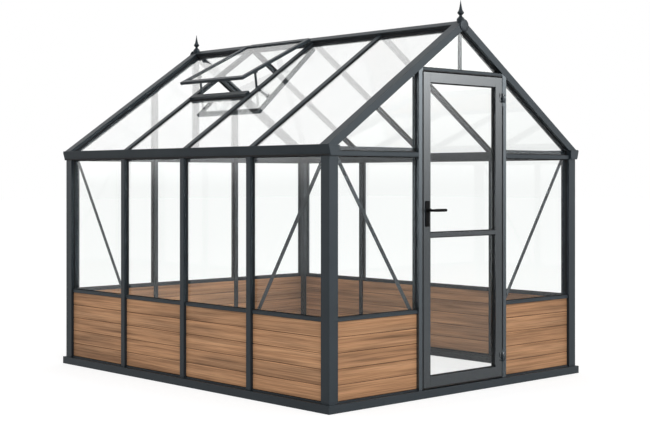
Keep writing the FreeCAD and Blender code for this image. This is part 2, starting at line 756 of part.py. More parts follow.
def lower_walls():
    """Rails and boards of every wall."""
    for wall in WALL_SPANS:
        wall_rails(wall)
        wall_boards(wall)


# Wall and gable panes


def wall_pane(middle, clear):
    """Outline of a pane between two uprights, from the sill rail to the eaves."""
    low, high = about(f"({middle})", f"({clear} / 2 + {PANE_BITE})")
    return rectangle(low, high, WALL_PANE_LOW, WALL_PANE_HIGH)


def side_wall_glass(wall):
    """Panes of a side wall."""
    body = new_body(wall + "_wall_glass")
    pane = pad(body, "YZ_Plane", [wall_pane(FIRST_BAY, BAY_CLEAR)], "Size.glass_thickness", at=PANE_FRONT)
    repeat(body, [pane], "Y_Axis", BAY_SPAN, BAYS)
    add_node(wall + "_wall_glass", place_on_wall(body, wall))


# Gable panes stop just under the ridge beam, where their sloping top edges reach this distance from the middle
GABLE_TOP = f"({APEX} - {RIDGE_DROP} - Size.glazing_clearance)"
GABLE_TOP_HALF = f"(({RIDGE_DROP} + Size.glazing_clearance + ({PANE_BITE} - Size.rafter_depth) / {COS}) / {TAN})"


def gable_side_pane():
    """Outline of the pane between the tie, the rafter and the next upright."""
    near = f"({JAMB_OUTER} - {PANE_BITE})"
    far = f"({POST_INNER} - Size.pane_edge_gap)"
    return [(near, GABLE_PANE_LOW), (far, GABLE_PANE_LOW), (far, pane_top(far)), (near, pane_top(near))]


def front_glass():
    """Panes beside the door, over them in the gable, and over the door."""
    body = new_body("front_glass")
    side = wall_pane(GABLE_SIDE_MIDDLE, GABLE_SIDE_CLEAR)
    gable = gable_side_pane()
    edge, low = f"({OPENING_HALF} - Size.stop_width)", f"{HEADER_TOP} - {RAIL_BITE}"
    half = [(edge, low), (edge, pane_top(edge)), (GABLE_TOP_HALF, GABLE_TOP)]
    centre = half + mirrored(half)[::-1]
    outlines = [side, mirrored(side), gable, mirrored(gable), centre]
    pad(body, "YZ_Plane", outlines, "Size.glass_thickness", at=PANE_FRONT)
    add_node("front_glass", place_on_wall(body, "front"))


def back_glass():
    """Panes of the back gable below and above its ties."""
    body = new_body("back_glass")
    side = wall_pane(GABLE_SIDE_MIDDLE, GABLE_SIDE_CLEAR)
    middle = wall_pane("0", BACK_MIDDLE_CLEAR)
    gable = gable_side_pane()
    near = f"(Size.bar_width / 2 - {PANE_BITE})"
    far = f"({BACK_MIDDLE_CLEAR} / 2 + {PANE_BITE})"
    centre = [
        (near, GABLE_PANE_LOW),
        (far, GABLE_PANE_LOW),
        (far, pane_top(far)),
        (GABLE_TOP_HALF, GABLE_TOP),
        (near, GABLE_TOP),
    ]
    outlines = [side, mirrored(side), middle, gable, mirrored(gable), centre, mirrored(centre)]
    pad(body, "YZ_Plane", outlines, "Size.glass_thickness", at=PANE_FRONT)
    add_node("back_glass", place_on_wall(body, "back"))


def wall_panes():
    """Glass of all four walls."""
    side_wall_glass("left")
    side_wall_glass("right")
    front_glass()
    back_glass()


# Braces


def brace(foot, head, head_level):
    """Outline of a flat diagonal strip from the sill rail's inner face to the top corner of the wall."""
    foot_level = f"({SILL_BOTTOM} + Size.pane_edge_gap)"
    return [
        (foot, foot_level),
        (f"{foot} + Size.brace_width", foot_level),
        (f"{head} + Size.brace_width", head_level),
        (head, head_level),
    ]


def side_braces(wall):
    """Two braces of a side wall, each with a tab that lies under the eaves beam."""
    body = new_body(wall + "_braces")
    head = f"({HALF_LENGTH} - Size.post_size - Size.brace_width - Size.pane_edge_gap)"
    foot = f"(-{FIRST_BAR} + Size.bar_inner_width / 2 + Size.pane_edge_gap)"
    strip = brace(foot, head, "Size.eave_height")
    pad(body, "YZ_Plane", [strip, mirrored(strip)], "Size.brace_thickness", at="Size.bar_depth")
    far = "Size.bar_depth + Size.brace_thickness + Size.brace_tab"
    tab = rectangle("Size.bar_depth", far, head, f"{head} + Size.brace_width")
    other = [(u, f"-({v})") for u, v in tab]
    pad(body, "XY_Plane", [tab, other], "Size.brace_thickness", at="Size.eave_height - Size.brace_thickness")
    return place_on_wall(body, wall)


def gable_braces(wall):
    """Two braces of a gable, fixed to the inner face of its ties."""
    body = new_body(wall + "_braces")
    head = f"({POST_INNER} - Size.brace_width - Size.pane_edge_gap)"
    foot = f"({JAMB_OUTER} + Size.pane_edge_gap)"
    strip = brace(foot, head, "(Size.eave_height + Size.brace_head_lap)")
    pad(body, "YZ_Plane", [strip, mirrored(strip)], "Size.brace_thickness", at="Size.bar_depth")
    return place_on_wall(body, wall)


def corner_braces():
    """Braces of the left wall and the door gable, two in each."""
    add_group("corner_braces", [side_braces("left"), gable_braces("front")])


# Roof frame


def seat(depth):
    """Height of the eaves beam's sloping seat, on which the rafters lie, at a distance in from the wall's face."""
    rise = f"({depth} + Size.plinth_overhang) * {TAN}"
    return f"(Size.eave_height + Size.roof_line_rise + {rise} - Size.rafter_depth / {COS})"


GUTTER_FLOOR = "(Size.eave_height + Size.fascia_wall)"
FASCIA_FOOT = "(Size.fascia_lean - Size.plinth_overhang)"
SEAT_START = f"({FASCIA_FOOT} + Size.fascia_wall + Size.gutter_width)"
EAVES_HALF = f"({HALF_LENGTH} + Size.plinth_overhang - Size.fascia_wall)"


def eaves_beam(wall):
    """Hollow beam on a side wall: seat for the rafters inside, gutter behind the fascia outside."""
    label = "eaves_beam_" + wall
    body = new_body(label)
    outer, inner, skin = "-Size.plinth_overhang", "Size.post_size", "Size.fascia_wall"
    base, top = "Size.eave_height", "Size.eave_height + Size.fascia_height"
    section = [
        (FASCIA_FOOT, base),
        (inner, base),
        (inner, seat(inner)),
        (SEAT_START, seat(SEAT_START)),
        (SEAT_START, GUTTER_FLOOR),
        (f"{FASCIA_FOOT} + {skin}", GUTTER_FLOOR),
        (f"{outer} + {skin}", top),
        (outer, top),
    ]
    start, stop = f"({SEAT_START} + 4 * {skin})", f"({inner} - {skin})"
    hollow = [
        (start, GUTTER_FLOOR),
        (stop, GUTTER_FLOOR),
        (stop, f"{seat(stop)} - {skin} / {COS}"),
        (start, f"{seat(start)} - {skin} / {COS}"),
    ]
    pad(body, "XZ_Plane", [section, hollow], f"2 * {EAVES_HALF}", both_sides=True)
    add_node(label, place_on_wall(body, wall))


def beam_caps(wall):
    """Plates that close the two ends of an eaves beam and its gutter."""
    body = new_body(wall + "_beam_caps")
    outer, inner = "-Size.plinth_overhang", "Size.post_size"
    base, bevel = "Size.eave_height", "4 * Size.edge_bevel"
    top = f"({base} + Size.fascia_height)"
    outline = [
        (FASCIA_FOOT, f"{base} + {bevel}"),
        (f"{FASCIA_FOOT} + {bevel}", base),
        (f"{inner} - {bevel}", base),
        (inner, f"{base} + {bevel}"),
        (inner, seat(inner)),
        (f"{outer} + {bevel}", top),
        (outer, f"{top} - {bevel}"),
    ]
    pad(body, "XZ_Plane", [outline], "Size.fascia_wall", at=EAVES_HALF)
    pad(body, "XZ_Plane", [outline], "Size.fascia_wall", at=f"-{EAVES_HALF} - Size.fascia_wall")
    return place_on_wall(body, wall)


def slope_range(side, top, foot):
    """Low end along a slope frame's x of a piece that runs from top to foot down the slope."""
    return top if SLOPES[side] > 0 else f"-({foot})"


def gable_rafter(gable, side):
    """Rafter at the end of the roof, grooved for the roof pane beside it and for the gable panes below it."""
    body = new_body(f"{gable}_{side}_rafter")
    width, depth, skin = "Size.post_size", "Size.rafter_depth", "Size.profile_wall"
    floor = f"({width} - Size.groove_depth)"
    section = [
        ("0", "0"),
        (width, "0"),
        (width, f"-{GROOVE_FRONT}"),
        (floor, f"-{GROOVE_FRONT}"),
        (floor, f"-{GROOVE_BACK}"),
        (width, f"-{GROOVE_BACK}"),
        (width, f"-{depth}"),
        (GROOVE_BACK, f"-{depth}"),
        (GROOVE_BACK, f"-({depth} - Size.groove_depth)"),
        (GROOVE_FRONT, f"-({depth} - Size.groove_depth)"),
        (GROOVE_FRONT, f"-{depth}"),
        ("0", f"-{depth}"),
    ]
    hollow = rectangle(skin, f"{floor} - {skin}", f"-({GROOVE_FRONT} - {skin})", f"-{skin}")
    sign = -1 if gable == "front" else 1
    outlines = [[(f"{sign} * ({HALF_LENGTH} - ({u}))", v) for u, v in outline] for outline in (section, hollow)]
    start = slope_range(side, RIDGE_FACE, RAFTER_FOOT)
    pad(body, "YZ_Plane", outlines, f"{RAFTER_FOOT} - {RIDGE_FACE}", at=start)
    return place_on_roof(body, side)


def roof_bars(side):
    """Low glazing bars of one slope, in line with those of the wall below."""
    label = side + "_roof_bars"
    body = new_body(label)
    profile = bar_profile("Size.roof_bar_drop", "Size.rafter_depth")
    outline = [(f"{FIRST_BAR} + ({v})", f"-({u})") for u, v in profile]
    start = slope_range(side, RIDGE_FACE, RAFTER_FOOT)
    bar = pad(body, "YZ_Plane", [outline], f"{RAFTER_FOOT} - {RIDGE_FACE}", at=start)
    repeat(body, [bar], "Y_Axis", BAR_SPAN, f"{BAYS} - 1")
    add_node(label, place_on_roof(body, side))


def ridge_point(down, depth):
    """Point in the ridge's section, from its distances down the slope and into the roof."""
    return f"(({down}) * {COS} - ({depth}) * {SIN})", f"({APEX} - ({down}) * {SIN} - ({depth}) * {COS})"


def ridge_beam():
    """Ridge beam with a pane groove along each side."""
    body = new_body("ridge_beam")
    floor = f"({RIDGE_FACE} - Size.groove_depth)"
    half = [
        ridge_point(RIDGE_FACE, "0"),
        ridge_point(RIDGE_FACE, GROOVE_FRONT),
        ridge_point(floor, GROOVE_FRONT),
        ridge_point(floor, GROOVE_BACK),
        ridge_point(RIDGE_FACE, GROOVE_BACK),
        ridge_point(RIDGE_FACE, "Size.rafter_depth"),
    ]
    section = [("0", APEX)] + half + mirrored(half)[::-1]
    pad(body, "XZ_Plane", [section], f"2 * {HALF_LENGTH}", both_sides=True)
    add_node("ridge_beam", place(body))


def ridge_end_caps():
    """Round plates that close the two ends of the ridge."""
    body = new_body("ridge_end_caps")
    disc = [("0", f"{APEX} - {RIDGE_DROP} / 2", "Size.ridge_cap_radius")]
    front = f"-{HALF_LENGTH} - Size.ridge_cap_thickness"
    for start in (HALF_LENGTH, front):
        pad(body, "XZ_Plane", [], "Size.ridge_cap_thickness", at=start, circles=disc)
    add_node("ridge_end_caps", place(body))


def finial_template():
    """Turned finial whose bell is notched to sit astride the ridge."""
    body = new_body("finial_template")
    base, neck, bulb = "Size.finial_base_radius", "Size.finial_neck_radius", "Size.finial_bulb_radius"
    spike, height = "Size.finial_spike_radius", "Size.finial_height"
    skirt = f"-{base} * {TAN} * 0.85"
    profile = [
        ("0", skirt),
        (base, skirt),
        (base, f"{height} * 0.04"),
        (f"{base} * 0.85", f"{height} * 0.1"),
        (neck, f"{height} * 0.22"),
        (neck, f"{height} * 0.26"),
        (f"{bulb} * 0.9", f"{height} * 0.34"),
        (bulb, f"{height} * 0.37"),
        (f"{bulb} * 0.9", f"{height} * 0.4"),
        (spike, f"{height} * 0.46"),
        (f"{spike} * 0.4", f"{height} * 0.77"),
        ("Size.finial_tip_radius", height),
        ("0", height),
    ]
    sketch = add_sketch(body, "XZ_Plane", "0", [profile], ())
    turned = body.newObject("PartDesign::Revolution", "Revolution")
    turned.Profile = sketch
    turned.ReferenceAxis = (sketch, ["V_Axis"])
    body.Tip = turned
    wide = f"(2 * {base})"
    pocket(body, "XZ_Plane", [[("0", "0"), (wide, f"-{wide} * {TAN}"), (f"-{wide}", f"-{wide} * {TAN}")]])
    return body


def finials():
    """A finial near each end of the ridge."""
    template = finial_template()
    along = f"({HALF_LENGTH} - Size.finial_inset)"
    front = place(copy_of(template, "finial_front"), "0", f"-{along}", APEX)
    back = place(copy_of(template, "finial_back"), "0", along, APEX)
    add_group("finials", [front, back])


def roof_glass(side):
    """Panes of one slope; in the vent's bay only the part below the vent cill is glazed."""
    label = side + "_roof_glass"
    body = new_body(label)
    top, foot = f"({RIDGE_FACE} - {PANE_BITE})", f"({RAFTER_FOOT} + Size.pane_lap)"
    start = slope_range(side, top, foot)
    low, high = about(FIRST_BAY, f"({BAY_CLEAR} / 2 + {PANE_BITE})")
    outline = rectangle(start, f"{start} + ({foot} - {top})", low, high)
    pane = pad(body, "XY_Plane", [outline], "Size.glass_thickness", at=f"-{PANE_BACK}")
    repeat(body, [pane], "Y_Axis", BAY_SPAN, BAYS)
    if side == "left":
        low, high = about(VENT_MIDDLE, "Size.bay_pitch / 2")
        pocket(body, "XY_Plane", [rectangle(f"-({CILL_FOOT} - {RAIL_BITE})", "0", low, high)])
    add_node(label, place_on_roof(body, side))


def roof():
    """Everything above the eaves but the vent."""
    eaves_beam("left")
    eaves_beam("right")
    add_group("eaves_end_caps", [beam_caps("left"), beam_caps("right")])
    for gable in ("front", "back"):
        rafters = [gable_rafter(gable, side) for side in SLOPES]
        add_group(gable + "_gable_rafters", rafters)
    for side in SLOPES:
        roof_bars(side)
        roof_glass(side)
    ridge_beam()
    ridge_end_caps()
    finials()


# Roof vent


def vent_hinge_channel():
    """Slotted tube on the ridge in which the vent's bead turns."""
    body = new_body("vent_hinge_channel")
    axis, height = "-Size.vent_hinge_distance", CHANNEL_RADIUS
    length = fit(BAY_CLEAR)
    pad(body, "XZ_Plane", [], length, at=VENT_MIDDLE, both_sides=True, circles=[(axis, height, CHANNEL_RADIUS)])
    foot = rectangle(f"{axis} - {CHANNEL_RADIUS}", f"{axis} + {CHANNEL_RADIUS}", "0", height)
    pad(body, "XZ_Plane", [foot], length, at=VENT_MIDDLE, both_sides=True)
    bore = "(Size.vent_bead_radius + Size.running_clearance)"
    pocket(body, "XZ_Plane", [], circles=[(axis, height, bore)])
    reach = f"(3 * {CHANNEL_RADIUS})"
    below, above = "Size.vent_slot_below", "Size.vent_slot_above"
    slot = [
        (axis, height),
        (f"{axis} - {reach} * cos({below})", f"{height} - {reach} * sin({below})"),
        (f"{axis} - {reach} * cos({above})", f"{height} + {reach} * sin({above})"),
    ]
    pocket(body, "XZ_Plane", [slot])
    add_node("vent_hinge_channel", place_on_roof(body, "left"))


VENT_GROOVE_LOW = f"({VENT_GLASS_LOW} - Size.glazing_clearance)"
VENT_GROOVE_HIGH = f"({VENT_GLASS_HIGH} + Size.glazing_clearance)"


def vent_section(near, far):
    """Vent rail in section: near is its edge beside the glass, grooved, and far its other edge."""
    depth = f"({far} - ({near})) / abs({far} - ({near})) * Size.rail_groove"
    return [
        (near, VENT_LOW),
        (near, VENT_GROOVE_LOW),
        (f"{near} + {depth}", VENT_GROOVE_LOW),
        (f"{near} + {depth}", VENT_GROOVE_HIGH),
        (near, VENT_GROOVE_HIGH),
        (near, VENT_HIGH),
        (far, VENT_HIGH),
        (far, VENT_LOW),
    ]


def vent_top_rail():
    """Upper vent rail with the neck and bead that hang in the hinge channel."""
    body = new_body("vent_top_rail")
    section = vent_section(f"-{VENT_TOP_INNER}", "-Size.vent_neck_length")
    pad(body, "XZ_Plane", [section], f"2 * {VENT_HALF}", both_sides=True)
    thin = "Size.vent_neck_thickness / 2"
    neck = rectangle("-Size.vent_neck_length - Size.edge_bevel", "0", f"-{thin}", thin)
    pad(body, "XZ_Plane", [neck], fit(BAY_CLEAR), both_sides=True)
    pad(body, "XZ_Plane", [], fit(BAY_CLEAR), both_sides=True, circles=[("0", "0", "Size.vent_bead_radius")])
    return place_on_vent(body)


def vent_bottom_rail():
    """Lower vent rail."""
    body = new_body("vent_bottom_rail")
    section = vent_section(f"-{VENT_BOTTOM_INNER}", "-Size.vent_length")
    pad(body, "XZ_Plane", [section], f"2 * {VENT_HALF}", both_sides=True)
    return place_on_vent(body)


def vent_side_rails():
    """The two side rails between the upper and the lower one."""
    body = new_body("vent_side_rails")
    section = vent_section(VENT_SIDE_INNER, VENT_HALF)
    length = fit(f"({VENT_BOTTOM_INNER} - {VENT_TOP_INNER})")
    start = f"-{VENT_BOTTOM_INNER} + Size.glazing_clearance"
    pad(body, "YZ_Plane", [section, mirrored(section)], length, at=start)
    return place_on_vent(body)


def vent_glass():
    """Pane of the vent."""
    body = new_body("vent_glass")
    side = f"({VENT_SIDE_INNER} + {RAIL_BITE})"
    foot, top = f"-({VENT_BOTTOM_INNER} + {RAIL_BITE})", f"-({VENT_TOP_INNER} - {RAIL_BITE})"
    pad(body, "XY_Plane", [rectangle(foot, top, f"-{side}", side)], "Size.glass_thickness", at=VENT_GLASS_LOW)
    add_node("vent_glass", place_on_vent(body))


def vent_cill():
    """Rail between the roof bars under the vent's lower edge, which also holds the short pane below it."""
    body = new_body("vent_cill")
    low = "-(Size.cill_gap + Size.cill_depth)"
    top, foot = f"-{CILL_TOP}", f"-{CILL_FOOT}"
    floor = f"{foot} + Size.rail_groove"
    section = [
        (foot, low),
        (top, low),
        (top, "-Size.cill_gap"),
        (foot, "-Size.cill_gap"),
        (foot, f"-{GROOVE_FRONT}"),
        (floor, f"-{GROOVE_FRONT}"),
        (floor, f"-{GROOVE_BACK}"),
        (foot, f"-{GROOVE_BACK}"),
    ]
    pad(body, "XZ_Plane", [section], fit(BAY_CLEAR), at=VENT_MIDDLE, both_sides=True)
    add_node("vent_cill", place_on_roof(body, "left"))


def vent_stay_lugs():
    """Lugs on the vent's side rails, each with the pin that a stay turns on."""
    body = new_body("vent_stay_lugs")
    pivot, drop = "-Size.stay_pivot_distance", "-Size.stay_pivot_drop"
    low, high = f"{drop} - Size.stay_width / 2", f"({VENT_GLASS_LOW} - 2 * Size.glazing_clearance)"
    lug = rectangle(f"{pivot} - Size.stay_width", f"{pivot} + Size.stay_width", low, high)
    inner = f"({VENT_SIDE_INNER} - Size.stay_lug_thickness)"
    pad(body, "XZ_Plane", [lug], "Size.stay_lug_thickness", at=inner)
    pad(body, "XZ_Plane", [lug], "Size.stay_lug_thickness", at=f"-{VENT_SIDE_INNER}")
    pin = [(pivot, drop, "Size.stay_pin_radius")]
    length = "(Size.stay_thickness + 2 * Size.glazing_clearance)"
    pad(body, "XZ_Plane", [], length, at=f"{inner} - {length}", circles=pin)
    pad(body, "XZ_Plane", [], length, at=f"-{inner}", circles=pin)
    add_node("vent_stay_lugs", place_on_vent(body))


def vent_stay(label, sign):
    """Flat stay that hangs from the vent, with a knob at its free end."""
    body = new_body(label)
    half = "Size.stay_width / 2"
    blade = rectangle(f"-{half}", half, f"-Size.stay_length - {half}", half)
    start = STAY_INNER if sign > 0 else f"-{STAY_OUTER}"
    hole = ("0", "0", "Size.stay_pin_radius + Size.running_clearance")
    pad(body, "XZ_Plane", [blade], "Size.stay_thickness", at=start, circles=[hole])
    knob_start = f"{STAY_INNER} - Size.stay_knob_length" if sign > 0 else f"-{STAY_INNER}"
    knob = ("0", "-Size.stay_length", f"{half} - Size.glazing_clearance")
    pad(body, "XZ_Plane", [], "Size.stay_knob_length", at=knob_start, circles=[knob])
    place(body, STAY_PIVOT_X, VENT_MIDDLE, STAY_PIVOT_Z, FreeCAD.Vector(0, -1, 0), "Size.stay_tilt")
    add_node(label, body)


def vent_stay_keepers():
    """Pads on the roof bars that the stays rub against, so that the vent stays where it is put."""
    body = new_body("vent_stay_keepers")
    side = "Size.keeper_side"
    block = rectangle(f"-Size.keeper_distance - {side} / 2", f"-Size.keeper_distance + {side} / 2",
                      f"-Size.roof_bar_drop - {side}", "-Size.roof_bar_drop")
    thick = f"({BAY_CLEAR} / 2 - {STAY_OUTER} - Size.glazing_clearance)"
    pad(body, "XZ_Plane", [block], thick, at=f"{VENT_MIDDLE} + {BAY_CLEAR} / 2 - {thick}")
    pad(body, "XZ_Plane", [block], thick, at=f"{VENT_MIDDLE} - {BAY_CLEAR} / 2")
    add_node("vent_stay_keepers", place_on_roof(body, "left"))


def roof_vent():
    """The vent, its hinge and its stays."""
    vent_hinge_channel()
    add_group("vent_rails", [vent_top_rail(), vent_bottom_rail(), vent_side_rails()])
    vent_glass()
    vent_cill()
    vent_stay_lugs()
    vent_stay("vent_stay_front", -1)
    vent_stay("vent_stay_back", 1)
    vent_stay_keepers()


# Door


def bolt_hole(clearance):
    """Outline of the latch bolt in section, with a clearance all round."""
    low_d, high_d = about(DOOR_MIDDLE, f"(Size.latch_thickness / 2 + {clearance})")
    low_z, high_z = about("Size.handle_level", f"(Size.latch_height / 2 + {clearance})")
    return rectangle(low_d, high_d, low_z, high_z)


def door_stile(label, sign):
    """Hollow upright of the door, grooved for the panes."""
    body = new_body(label)
    inner, outer = about(STILE_MIDDLE, "Size.stile_width / 2")
    floor, skin = f"({inner} + Size.groove_depth)", "Size.stile_wall"
    section = [
        ("0", inner),
        (DOOR_GROOVE_FRONT, inner),
        (DOOR_GROOVE_FRONT, floor),
        (DOOR_GROOVE_BACK, floor),
        (DOOR_GROOVE_BACK, inner),
        ("Size.door_depth", inner),
        ("Size.door_depth", outer),
        ("0", outer),
    ]
    hollow = rectangle(skin, f"Size.door_depth - {skin}", f"{floor} + {skin}", f"{outer} - {skin}")
    outlines = [[(u, f"{sign} * ({v})") for u, v in outline] for outline in (section, hollow)]
    pad(body, "XY_Plane", outlines, DOOR_HEIGHT, at=DOOR_BOTTOM)
    if sign > 0:
        spindle_room = (STILE_MIDDLE, "Size.handle_level", "Size.lever_neck_radius - Size.glazing_clearance")
        pocket(body, "YZ_Plane", [], circles=[spindle_room])
        pocket(body, "XZ_Plane", [bolt_hole("Size.glazing_clearance")], f"2 * {skin}", at=f"{outer} - {skin}")
    add_node(label, place_on_wall(body, "front"))


def door_rails():
    """Top, middle and bottom rails between the stiles."""
    body = new_body("door_rails")
    edges = ("0", "Size.door_depth", DOOR_GROOVE_FRONT, DOOR_GROOVE_BACK)
    top = grooved_rail(TOP_RAIL_LOW, DOOR_TOP, *edges, False, True)
    middle = grooved_rail(MID_RAIL_LOW, MID_RAIL_HIGH, *edges, True, True)
    bottom = grooved_rail(DOOR_BOTTOM, BOTTOM_RAIL_HIGH, *edges, True, False)
    skin = "Size.stile_wall"
    front, back = skin, f"Size.door_depth - {skin}"
    top_hollow = rectangle(front, back, f"{TOP_RAIL_LOW} + Size.rail_groove + {skin}", f"{DOOR_TOP} - {skin}")
    low_hollow = rectangle(front, back, f"{DOOR_BOTTOM} + {skin}", f"{BOTTOM_RAIL_HIGH} - Size.rail_groove - {skin}")
    outlines = [top, middle, bottom, top_hollow, low_hollow]
    pad(body, "XZ_Plane", outlines, fit(DOOR_CLEAR), both_sides=True)
    add_node("door_rails", place_on_wall(body, "front"))


def door_glass():
    """Upper and lower panes of the door."""
    body = new_body("door_glass")
    side = f"({DOOR_CLEAR} / 2 + {PANE_BITE})"
    lower = rectangle(f"-{side}", side, f"{BOTTOM_RAIL_HIGH} - {RAIL_BITE}", f"{MID_RAIL_LOW} + {RAIL_BITE}")
    upper = rectangle(f"-{side}", side, f"{MID_RAIL_HIGH} - {RAIL_BITE}", f"{TOP_RAIL_LOW} + {RAIL_BITE}")
    pad(body, "YZ_Plane", [lower, upper], "Size.glass_thickness", at=f"{DOOR_MIDDLE} - Size.glass_thickness / 2")
    add_node("door_glass", place_on_wall(body, "front"))


def hinge_leaves(label, sign, low, length):
    """Leaves of both hinges on one side: a knuckle about the pin and a plate on the frame or the door."""
    body = new_body(label)
    axis = ("-Size.hinge_knuckle_radius", f"-{HINGE_LINE}")
    bore = "Size.hinge_pin_radius + Size.running_clearance"
    circles = [(*axis, "Size.hinge_knuckle_radius"), (*axis, bore)]
    knuckle = pad(body, "XY_Plane", [], length, at=low, circles=circles)
    ends = [f"-{HINGE_LINE}", f"-{HINGE_LINE} + {sign} * Size.hinge_leaf_length"]
    plate = rectangle("-Size.hinge_leaf_thickness", "0", *ends)
    leaf = pad(body, "XY_Plane", [plate], length, at=low)
    repeat(body, [knuckle, leaf], "Z_Axis", HINGE_SPAN, "2")
    add_node(label, place_on_wall(body, "front"))


def hinge_pins():
    """Pins of the two hinges."""
    body = new_body("hinge_pins")
    circle = ("-Size.hinge_knuckle_radius", f"-{HINGE_LINE}", "Size.hinge_pin_radius")
    pin = pad(body, "XY_Plane", [], "Size.hinge_height", at=f"{LOW_HINGE} - Size.hinge_height / 2", circles=[circle])
    repeat(body, [pin], "Z_Axis", HINGE_SPAN, "2")
    add_node("hinge_pins", place_on_wall(body, "front"))


def door_hinges():
    """Lift-off hinges: the frame's leaves below, the door's above."""
    half = "Size.hinge_height / 2"
    hinge_leaves("hinge_frame_leaves", -1, f"{LOW_HINGE} - {half}", half)
    hinge_leaves("hinge_door_leaves", 1, f"{LOW_HINGE} + Size.glazing_clearance", f"{half} - Size.glazing_clearance")
    hinge_pins()


def softened(low_u, high_u, low_v, high_v, bevel):
    """Rectangle with bevelled corners."""
    return [
        (f"{low_u} + {bevel}", low_v),
        (f"{high_u} - {bevel}", low_v),
        (high_u, f"{low_v} + {bevel}"),
        (high_u, f"{high_v} - {bevel}"),
        (f"{high_u} - {bevel}", high_v),
        (f"{low_u} + {bevel}", high_v),
        (low_u, f"{high_v} - {bevel}"),
        (low_u, f"{low_v} + {bevel}"),
    ]


def handle_plates():
    """Back plates of the levers, outside and inside the door."""
    body = new_body("handle_plates")
    top = "(Size.handle_level + Size.plate_above_lever)"
    outline = softened(*about(STILE_MIDDLE, "Size.plate_width / 2"), f"{top} - Size.plate_height", top,
                       "2 * Size.edge_bevel")
    hole = (STILE_MIDDLE, "Size.handle_level", "Size.lever_neck_radius + Size.running_clearance")
    pad(body, "YZ_Plane", [outline], "Size.plate_thickness", at="-Size.plate_thickness", circles=[hole])
    pad(body, "YZ_Plane", [outline], "Size.plate_thickness", at="Size.door_depth", circles=[hole])
    add_node("handle_plates", place_on_wall(body, "front"))


def lever(name, neck_start, arm_start):
    """Lever handle: round neck with a square socket, and an arm that points away from the latch."""
    body = new_body(name)
    socket_half = "(Size.spindle_side / 2 + Size.running_clearance)"
    socket = rectangle(*about(STILE_MIDDLE, socket_half), *about("Size.handle_level", socket_half))
    neck = (STILE_MIDDLE, "Size.handle_level", "Size.lever_neck_radius")
    length = "Size.lever_reach - Size.lever_thickness - Size.glazing_clearance"
    pad(body, "YZ_Plane", [socket], length, at=neck_start, circles=[neck])
    half = "Size.lever_height / 2"
    arm = softened(f"{STILE_MIDDLE} + {half} - Size.lever_length", f"{STILE_MIDDLE} + {half}",
                   *about("Size.handle_level", half), "2 * Size.edge_bevel")
    pad(body, "YZ_Plane", [arm], "Size.lever_thickness", at=arm_start)
    return place_on_wall(body, "front")


def lever_handles():
    """Levers outside and inside."""
    outer = lever("lever_outer", "-(Size.lever_reach - Size.lever_thickness)", "-Size.lever_reach")
    inner = lever("lever_inner", "Size.door_depth + Size.glazing_clearance",
                  "Size.door_depth + Size.lever_reach - Size.lever_thickness")
    add_group("lever_handles", [outer, inner])


def spindle():
    """Square bar that joins the two levers through the stile."""
    body = new_body("spindle")
    half = "Size.spindle_side / 2"
    square = rectangle(*about(STILE_MIDDLE, half), *about("Size.handle_level", half))
    pad(body, "YZ_Plane", [square], "Size.door_depth + 2 * Size.spindle_reach", at="-Size.spindle_reach")
    add_node("spindle", place_on_wall(body, "front"))


def latch_bolt():
    """Sliding bolt with a bevelled nose."""
    body = new_body("latch_bolt")
    pad(body, "XZ_Plane", [bolt_hole("0")], "Size.latch_length", at=LATCH_TAIL)
    back = f"({DOOR_MIDDLE} + Size.latch_thickness / 2)"
    nose = [
        (back, f"{LATCH_TIP} - Size.latch_bevel"),
        (f"{back} + Size.latch_bevel", LATCH_TIP),
        (f"{back} - Size.latch_bevel", LATCH_TIP),
    ]
    pocket(body, "XY_Plane", [nose])
    add_node("latch_bolt", place_on_wall(body, "front"))


def latch_case():
    """Sleeve inside the stile that guides the bolt."""
    body = new_body("latch_case")
    outer = bolt_hole("Size.latch_case_wall")
    inner = bolt_hole("Size.running_clearance")
    end = "(Size.door_width / 2 - Size.stile_wall)"
    pad(body, "XZ_Plane", [outer, inner], "Size.latch_case_length", at=f"{end} - Size.latch_case_length")
    add_node("latch_case", place_on_wall(body, "front"))


def strike_plate():
    """Plate on the jamb around the bolt's hole."""
    body = new_body("strike_plate")
    low_d, high_d = about(DOOR_MIDDLE, "(Size.latch_thickness / 2 + Size.strike_margin)")
    low_z, high_z = about("Size.handle_level", "Size.strike_height / 2")
    plate = rectangle(low_d, high_d, low_z, high_z)
    hole = bolt_hole("2 * Size.glazing_clearance")
    pad(body, "XZ_Plane", [plate, hole], "Size.strike_thickness", at=f"{OPENING_HALF} - Size.strike_thickness")
    add_node("strike_plate", place_on_wall(body, "front"))


def door():
    """The door with its hinges, handles and latch."""
    door_stile("door_latch_stile", 1)
    door_stile("door_hinge_stile", -1)
    door_rails()
    door_glass()
    door_hinges()
    handle_plates()
    lever_handles()
    spindle()
    latch_bolt()
    latch_case()
    strike_plate()


def check():
    """Stop if any object failed or any sub-part is not made of sound solids."""
    for obj in doc.Objects:
        if {"Invalid", "Error"} & set(obj.State):
            raise RuntimeError("%s failed: %s" % (obj.Label, obj.State))
    for label, obj in nodes.items():
        shape = obj.Shape
        if shape.isNull() or not shape.isValid() or not shape.Solids:
            raise RuntimeError("%s has no sound solid" % label)


def main():
    """Build, check and write every sub-part."""
    ground_frame()
    uprights()
    lower_walls()
    wall_panes()
    corner_braces()
    roof()
    roof_vent()
    door()
    doc.recompute()
    check()
    os.makedirs("parts", exist_ok=True)
    for label, obj in nodes.items():
        obj.Shape.exportStep("parts/%s.step" % label)


main()
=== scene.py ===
"""Looks of the metal greenhouse: coated frame, wood-look boards, clear panes, small fittings and a studio."""

import json
import logging
import math
from collections.abc import Callable, Sequence
from dataclasses import dataclass
from enum import Enum, IntEnum

